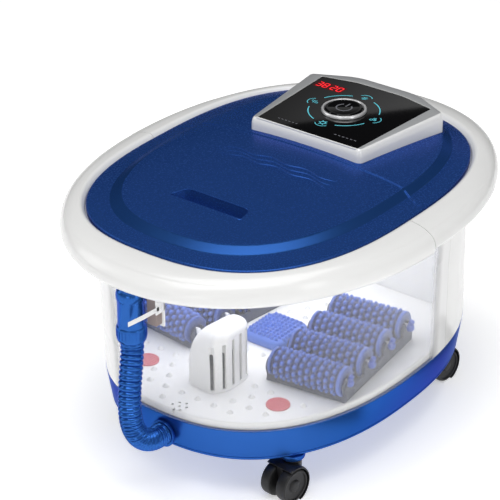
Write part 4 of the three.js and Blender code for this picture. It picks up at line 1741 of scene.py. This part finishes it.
@dataclass
class HerbBox:
    """The herb box by the front wall: a cup with five tall slots and a domed lid that lifts off."""

    x0: float = -9.5
    x1: float = 33.0
    y0: float = -145.0
    y1: float = -95.0
    floor_z: float = SEAT
    joint_z: float = 126.15
    spring_z: float = 104.0
    top_z: float = 148.0
    wall: float = 2.2
    brow: float = 7.0  # the height over which the top edge is rounded
    roundness: float = 2.4  # 2 is a quarter circle, more is fuller
    slot_ys: tuple[float, ...] = (-143.6, -133.6, -122.0, -111.0, -101.0)

    def plan(self) -> Flat:
        """The box seen from above: a bowed slotted side and a rounded back."""
        return outline(
            [
                (self.x0, self.y0 + 4, 9), (self.x1 - 9, self.y0, 7), (self.x1, self.y0 + 14, 16),
                (self.x1, self.y1 + 4, 15), (self.x0 + 6, self.y1, 14),
            ],
            8,
        )

    def slot_tool(self) -> Mesh:
        """Blades that cut the slots in through the bowed side."""
        bm = bmesh.new()
        for i, y in enumerate(self.slot_ys):
            lean = -17 + 8.5 * i
            blade = bmesh.new()
            high = self.top_z - 13 + 1.5 * i
            box(blade, (-7, -1.8, self.floor_z + 2.6), (14, 1.8, high), 0.7)
            x = self.x1 - (6.0 if i == 0 else 0.8)
            bmesh.ops.transform(blade, verts=blade.verts, matrix=at(x, y, 0) @ turned(lean, "Z"))
            mesh = bpy.data.meshes.new("blade")
            blade.to_mesh(mesh)
            blade.free()
            bm.from_mesh(mesh)
            bpy.data.meshes.remove(mesh)
        return bm

    def ring(self, z: float, inset: float = 0.0) -> Points:
        """The box's outline at a height: upright at first, then drawn in as a quarter round."""
        w = min(1.0, max(0.0, (z - self.spring_z) / (self.top_z - self.spring_z)))
        inward = 1 - max(0.0, 1 - w**self.roundness) ** (1 / self.roundness)
        brow = min(1.0, max(0.0, (z - self.top_z + self.brow) / self.brow))
        edge = inset + 6.5 * (1 - math.sqrt(max(0.0, 1 - brow * brow)))
        ax, ay = self.x1 - 15, self.y1 - 14
        points = []
        for x, y in grown(self.plan(), -edge):
            back = (self.x1 - x) / (self.x1 - self.x0)
            points.append((x + max(0.0, ax - x) * inward, y + max(0.0, ay - y) * inward * back))
        return level(points, z)

    def cup(self) -> Mesh:
        """The open cup with its slots."""
        low, high = self.floor_z, self.joint_z - 0.1
        bend = [self.spring_z + (high - self.spring_z) * k / 4 for k in range(5)]
        heights = [low + 1.2, *bend]
        rings = [self.ring(low, -0.8)]
        rings += [self.ring(z) for z in heights]
        rings += [self.ring(z, self.wall) for z in reversed(heights)]
        return carved(swept(*rings), self.slot_tool(), Cut.TAKE)

    def dome(self) -> Mesh:
        """The lid: the upper part of the quarter round."""
        low, high = self.joint_z, self.top_z
        steps = 14
        shares = [math.sin(0.5 * math.pi * k / steps) for k in range(steps + 1)]
        rings = [self.ring(low + (high - low) * share) for share in shares]
        return carved(swept(*rings), self.slot_tool(), Cut.TAKE)

    def build(self) -> None:
        """Makes the cup, the grey liner of painted shade inside it and the lid."""
        piece("herb_cup", self.cup(), WHITE_ABS, ["herb_box"], "herb_box")
        piece("herb_dome", self.dome(), WHITE_ABS, ["herb_box_lid"], "herb_box_lid")
        # A grey liner inside the cup: painted shade
        inner = grown(self.plan(), -2.6)
        shade = swept(level(inner, self.floor_z + 2.3), level(grown(inner, -1.5), self.spring_z + 6))
        piece("herb_shade", shade, HERB_BOX_SHADE, (), "herb_box")


# ---------------------------------------------------------------- drain


@dataclass
class Drain:
    """The drain: a spigot in the base, a corrugated hose up the wall, its fitting and the clip."""

    hose_r: float = 11.0
    route: tuple[tuple[float, float, float], ...] = (
        (3, -189.9, 59), (3, -192.7, 59), (3, -199, 59), (2.5, -206, 60), (1.8, -213, 63),
        (0.8, -219.4, 68), (-0.4, -224.3, 75), (-1.8, -227.3, 83.5), (-3.2, -228.2, 93), (-5, -227, 104),
        (-7, -224, 116),
        (-9.2, -219.6, 129), (-11.4, -215, 141), (-13.6, -211, 150.5), (-14.9, -209.3, 156.6),
        (-15, -209.2, 161.4), (-15, -209.2, 164.4),
    )
    fitting_at: tuple[float, float] = (-15.0, -209.2)
    hook: tuple[tuple[float, float], ...] = (
        (12.2, -204.0), (14.0, -204.0), (14.0, -212.0), (7.6, -221.4), (-4.0, -226.8), (-4.6, -224.6),
        (6.0, -219.4), (12.2, -211.2),
    )
    loose_rib: float = 4.7  # rib pitch on the upright run
    tight_rib: float = 2.5  # and in the bend
    grain: float = 0.45  # distance between the hose's rings

    def path(self) -> Points:
        """The hose's centre line, in metres."""
        return catmull([Vector(p) * MM for p in self.route], self.grain * MM)

    def hose(self) -> bpy.types.Object:
        """The corrugated hose: ribs that stand close in the bend and wide on the upright run."""
        line = self.path()
        phase, phases = 0.0, []
        for here, ahead in zip(line, line[1:] + line[-1:]):
            phases.append(phase)
            share = min(1.0, max(0.0, (here.z / MM - 80) / 22))
            pitch = self.tight_rib + (self.loose_rib - self.tight_rib) * share
            phase += (ahead - here).length / MM / pitch

        def radius(i: int) -> float:
            """Ribs with round crests and narrower grooves, plain where the fitting grips."""
            crest = abs(math.cos(math.pi * phases[i]))
            deep = 0.8 if line[i].z > 0.153 else 1.55
            return (self.hose_r - deep * (1 - crest**0.7)) * MM

        bm = bmesh.new()
        tube(bm, line, radius, 36)
        face_out(bm)
        return piece("hose_corrugated", bm, HOSE_PVC, ["drain_hose"])

    def fitting(self) -> bpy.types.Object:
        """The hose's end fitting: a ribbed grip ring, a smooth barrel and a stepped cap."""
        bm = bmesh.new()
        profile = [
            (0, 162.0), (11.6, 162.0), (12.8, 162.6), (13.6, 164), (13.9, 166), (13.9, 176.5),
            (13.5, 177.6), (12.8, 178.2), (12.6, 180), (12.6, 204), (13.0, 205), (13.4, 206.2), (13.4, 211),
            (12.8, 213),
            (12.2, 214.6), (10.6, 216), (10.2, 221), (0, 221),
        ]
        lathe(bm, profile, at(*self.fitting_at, 0), 48)
        for k in range(24):
            spot = at(*self.fitting_at, 171) @ turned(15 * k, "Z") @ at(13.8, 0, 0)
            rib = Matrix.Diagonal((0.9 * MM, 1.1 * MM, 8 * MM, 1))
            bmesh.ops.create_cube(bm, size=1, matrix=spot @ rib)
        return piece("fitting_barrel", bm, HOSE_PVC, ["hose_fitting"])

    def spigot(self) -> None:
        """The spigot's flange and neck in the base."""
        bm = bmesh.new()
        profile = [
            (11.3, 0), (13.2, 0), (13.6, 0.5), (13.6, 2.4), (13.0, 3.0), (9.2, 3.4), (9.0, 16.4),
            (6.5, 16.4), (6.5, 5), (11.3, 4.6), (11.3, 0),
        ]
        lathe(bm, profile, at(3, -192.5, 59) @ turned(-90, "X"), 48)
        piece("spigot_collar", bm, ROYAL_ABS, ["drain_spigot"])

    def clip(self) -> None:
        """The white bracket on the wall: a channel with a taupe plate of painted shade inside, and a hook
        round the fitting.
        """
        bm = bmesh.new()
        box(bm, (1.8, -198.2, 180), (14, -195.6, 214), 0.6)
        box(bm, (12.2, -208, 196), (14.0, -196, 222), 0.6)
        low, slope, high = 199.5, 0.72, 5.0
        rings = []
        for rise in (0.0, high):
            rings.append([Vector((x, y, low - slope * (14 - x) + rise)) * MM for x, y in self.hook])
        sweep(bm, rings)
        face_out(bm)
        piece("clip_bracket", bm, WHITE_ABS, ["hose_clip"], bevel=0.4)
        # A taupe plate in the channel: painted shade of the recess behind the fitting
        inside = bmesh.new()
        box(inside, (1.4, -206.5, 183), (12.0, -198.0, 221), 0.5)
        piece("clip_inside", inside, TAUPE_SHADE)

    def build(self) -> None:
        hose = self.hose()
        fitting = self.fitting()
        line = self.path()
        self.spigot()
        self.clip()


# ---------------------------------------------------------------- base and casters


@dataclass(frozen=True)
class CasterPlace:
    """Where a caster stands, which way its wheels point and on which side of the stem they trail."""

    name: str
    x: float
    y: float
    heading: float
    trail: int


@dataclass
class Base:
    """The blue base: a skirt, a bottom plate with the caster sockets and a rest pad."""

    low: Oval = Oval(143.0, 191.1, 2.37, 6.7)
    high: Oval = Oval(147.5, 195.9, 2.37, 6.7)
    bottom_z: float = 45.0
    top_z: float = 78.4
    boss: tuple[tuple[float, float], ...] = (
        (4.4, 38.0), (9.0, 38.0), (10.4, 38.5), (11.4, 39.6), (11.9, 41.2), (12.0, 44.4), (4.4, 44.4),
        (4.4, 38.0),
    )

    def skirt(self) -> Mesh:
        """The skirt with a rounded top, a fine reveal above its lower edge and a dark return below."""
        low, high, z0, z1 = self.low, self.high, self.bottom_z, self.top_z
        corners = [
            Station(low.inset(1.6), z0 - 0.6, 0.4),
            Station(low.inset(0.2), z0, 0.8),
            Station(low.inset(-0.1), z0 + 2.2, 0.2),
            Station(low.inset(0.5), z0 + 2.5, 0.2),
            Station(low.inset(-0.2), z0 + 3.0, 0.3),
            Station(high, z1 - 0.4, 0.9),
            Station(high.inset(1.2), z1 + 0.2, 0.5),
            Station(high.inset(3), z1, 0.2),
            Station(low.inset(3), z0 - 0.6, 0.2),
        ]
        bm = lofted(corners, closed=True)
        face_out(bm)
        return bm

    def build(self, places: Sequence[CasterPlace]) -> None:
        """Makes the skirt and the plate.

        Args:
            places: where the caster sockets go.
        """
        bore = bmesh.new()
        lathe(bore, [(0, 0), (9.4, 0), (9.4, 40), (0, 40)], at(3, -215, 59) @ turned(-90, "X"), 40)
        skirt = carved(self.skirt(), bore, Cut.TAKE)
        piece("skirt_moulding", skirt, ROYAL_ABS, ["base_skirt"])
        inner = self.low.inset(3.4)
        stations = [Station(inner, 44.6), Station(inner, 42.6, 0.6), Station(inner.inset(2), 42.0, 0.8)]
        plate = lofted(stations)
        for spot in places:
            lathe(plate, self.boss, at(spot.x, spot.y, 0), 36)
        box(plate, (-35, -20, 40), (35, 30, 43), 1.2)
        for k in range(-4, 5):
            box(plate, (12 * k - 1, 60, 40.8), (12 * k + 1, 120, 42.6), 0.5)
        piece("bottom_plate", plate, ROYAL_ABS, ["base_plate"])


@dataclass
class Caster:
    """One twin-wheel caster: a swivelling hood on a steel stem, and a pair of wheels."""

    spot: CasterPlace
    wheel_r: float = 17.0
    trail: float = 12.0
    hood_turn: float = 205.0  # how far the hood reaches round the wheels, in degrees

    def place(self) -> Matrix:
        """The wheel centre's place, turned to the caster's heading."""
        turn = math.radians(self.spot.heading)
        reach = self.trail * self.spot.trail
        x = self.spot.x - math.sin(turn) * reach
        y = self.spot.y + math.cos(turn) * reach
        return at(x, y, self.wheel_r) @ turned(self.spot.heading, "Z")

    def hood(self) -> Mesh:
        """A rounded hood over both wheels, a web between them and the stem's tower."""
        bm = bmesh.new()
        shell = [
            (18.0, -15.4), (19.2, -15.0), (19.9, -13.4), (20.1, -8), (20.2, 0), (20.1, 8), (19.9, 13.4),
            (19.2, 15.0), (18.0, 15.4), (18.0, 13.8), (18.2, 0), (18.0, -13.8), (18.0, -15.4),
        ]
        web = [(0, -3.0), (18.3, -3.0), (18.3, 3.0), (0, 3.0)]
        place = self.place() @ turned(-90 - 8 * self.spot.trail, "X") @ turned(90, "Y")
        start = math.radians(180 - 0.5 * self.hood_turn)
        for profile in (shell, web):
            lathe(bm, profile, place, 40, math.radians(self.hood_turn), start)
            self.cap_ends(bm)
        lathe(bm, [(0, 26), (8.6, 26), (8.8, 36.6), (8.0, 37.6), (0, 37.6)], self.pivot(), 28)
        return bm

    def pivot(self) -> Matrix:
        """The swivel axis at the ground."""
        return self.place() @ at(0, -self.spot.trail * self.trail, -self.wheel_r)

    def cap_ends(self, bm: Mesh) -> None:
        """Closes the open ends of a part-turned shape."""
        bmesh.ops.holes_fill(bm, edges=[e for e in bm.edges if e.is_boundary], sides=0)
        face_out(bm)

    def wheels(self) -> Mesh:
        """Two wheels on one axle: rounded treads, dished discs and a hub cap."""
        bm = bmesh.new()
        r = self.wheel_r
        for side in (-1, 1):
            disc = [
                (0, 4.0), (r - 1.4, 4.0), (r - 0.4, 4.6), (r, 6.2), (r, 12.4), (r - 0.5, 14.2),
                (r - 1.6, 15.0), (r - 2.8, 14.8), (r - 3.2, 13.7), (6.4, 13.1), (5.6, 14.4), (4.6, 14.9),
                (0, 15.0),
            ]
            lathe(bm, disc, self.place() @ turned(90 * side, "Y"), 48)
        lathe(bm, [(0, -4.2), (3, -4.2), (3, 4.2), (0, 4.2)], self.place() @ turned(90, "Y"), 16)
        face_out(bm)
        return bm

    def build(self) -> None:
        """Makes the hood, the stem and the wheels."""
        name = self.spot.name
        body = f"caster_{name}"
        housing = [f"caster_housing_{name}"]
        piece(f"caster_hood_{name}", self.hood(), BLACK_NYLON, housing, body)
        stem = bmesh.new()
        lathe(stem, [(0, 37), (4, 37), (4, 54.6), (3.2, 56), (0, 56)], self.pivot(), 20)
        piece(f"caster_stem_{name}", stem, STEEL, (), body)
        nodes, wheels = [f"caster_wheels_{name}"], f"wheels_{name}"
        piece(f"caster_tyres_{name}", self.wheels(), TREAD, nodes, wheels)


# ---------------------------------------------------------------- machines


@dataclass
class Machines:
    """What works inside: dressed where the design's shape is right, detailed where it can be seen."""

    dressed: dict[str, Finish] = field(
        default_factory=lambda: {
            "control_board": BOARD,
            "button_switch": BLACK_NYLON,
            "display_module": BLACK_NYLON,
            "circulation_pump": GREY_ABS,
            "air_blower": BLACK_NYLON,
            "power_module": GREY_ABS,
            "heater_tube": STEEL,
            "air_manifold": GREY_ABS,
        }
    )

    def inlet(self) -> None:
        """The power inlet: a flanged socket with three pins."""
        bm = bmesh.new()
        low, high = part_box("power_inlet")
        x0, x1 = low.x / MM, high.x / MM
        z0, z1 = low.z / MM, high.z / MM
        y1 = high.y / MM
        frame = outline([(x0, z0, 2), (x1, z0, 2), (x1, z1, 4), (x0, z1, 4)], 5)
        p0, p1, q0, q1 = x0 + 4.5, x1 - 4.5, z0 + 4, z1 - 4
        pocket = outline([(p0, q0, 1), (p1, q0, 1), (p1, q1, 4), (p0, q1, 4)], 5)

        def upright(points: Flat, y: float) -> Points:
            """An outline standing up at this depth."""
            return [Vector((x, y, z)) * MM for x, z in points]

        rings = [
            upright(frame, 182), upright(frame, y1 - 1), upright(grown(frame, -0.6), y1),
            upright(grown(pocket, 0.4), y1), upright(pocket, y1 - 0.6), upright(pocket, 188),
        ]
        sweep(bm, rings)
        middle = (x0 + x1) / 2
        for dx, dz in ((-6, -1), (0, 2.4), (6, -1)):
            z = (z0 + z1) / 2 + dz
            box(bm, (middle + dx - 1, 187, z - 2.2), (middle + dx + 1, 198, z + 2.2), 0.4)
        face_out(bm)
        piece("power_socket", bm, BLACK_NYLON, ["power_inlet"])

    def build(self, nodes: dict[str, bpy.types.Object]) -> None:
        """Gives each inner node its material, and makes the socket.

        Args:
            nodes: the design's objects.
        """
        for name, finish in self.dressed.items():
            nodes[name].data.materials.clear()
            nodes[name].data.materials.append(finish.made())
        self.inlet()


CASTERS = (
    CasterPlace("front_right", 103.5, -124, -5, -1),
    CasterPlace("rear_right", 95, 118, -5, 1),
    CasterPlace("front_left", -103.5, -124, -30, 1),
    CasterPlace("rear_left", -95, 118, 12, 1),
)


def main() -> None:
    """Builds the studio and the basin."""
    logging.basicConfig(level=logging.INFO, format="%(message)s")
    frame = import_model()
    Studio().build()
    Drain().build()
    Base().build(CASTERS)
    for spot in CASTERS:
        Caster(spot).build()
    Tub().build()
    BasinFloor().build()
    for hand in Hand:
        RollerBank(hand).build()
    FootPad().build()
    HerbBox().build()
    Rim().build()
    pod = ControlPod()
    Covers().build(pod.shape())
    pod.build()
    Machines().build(frame["nodes"])


if __name__ == "__main__":
    main()
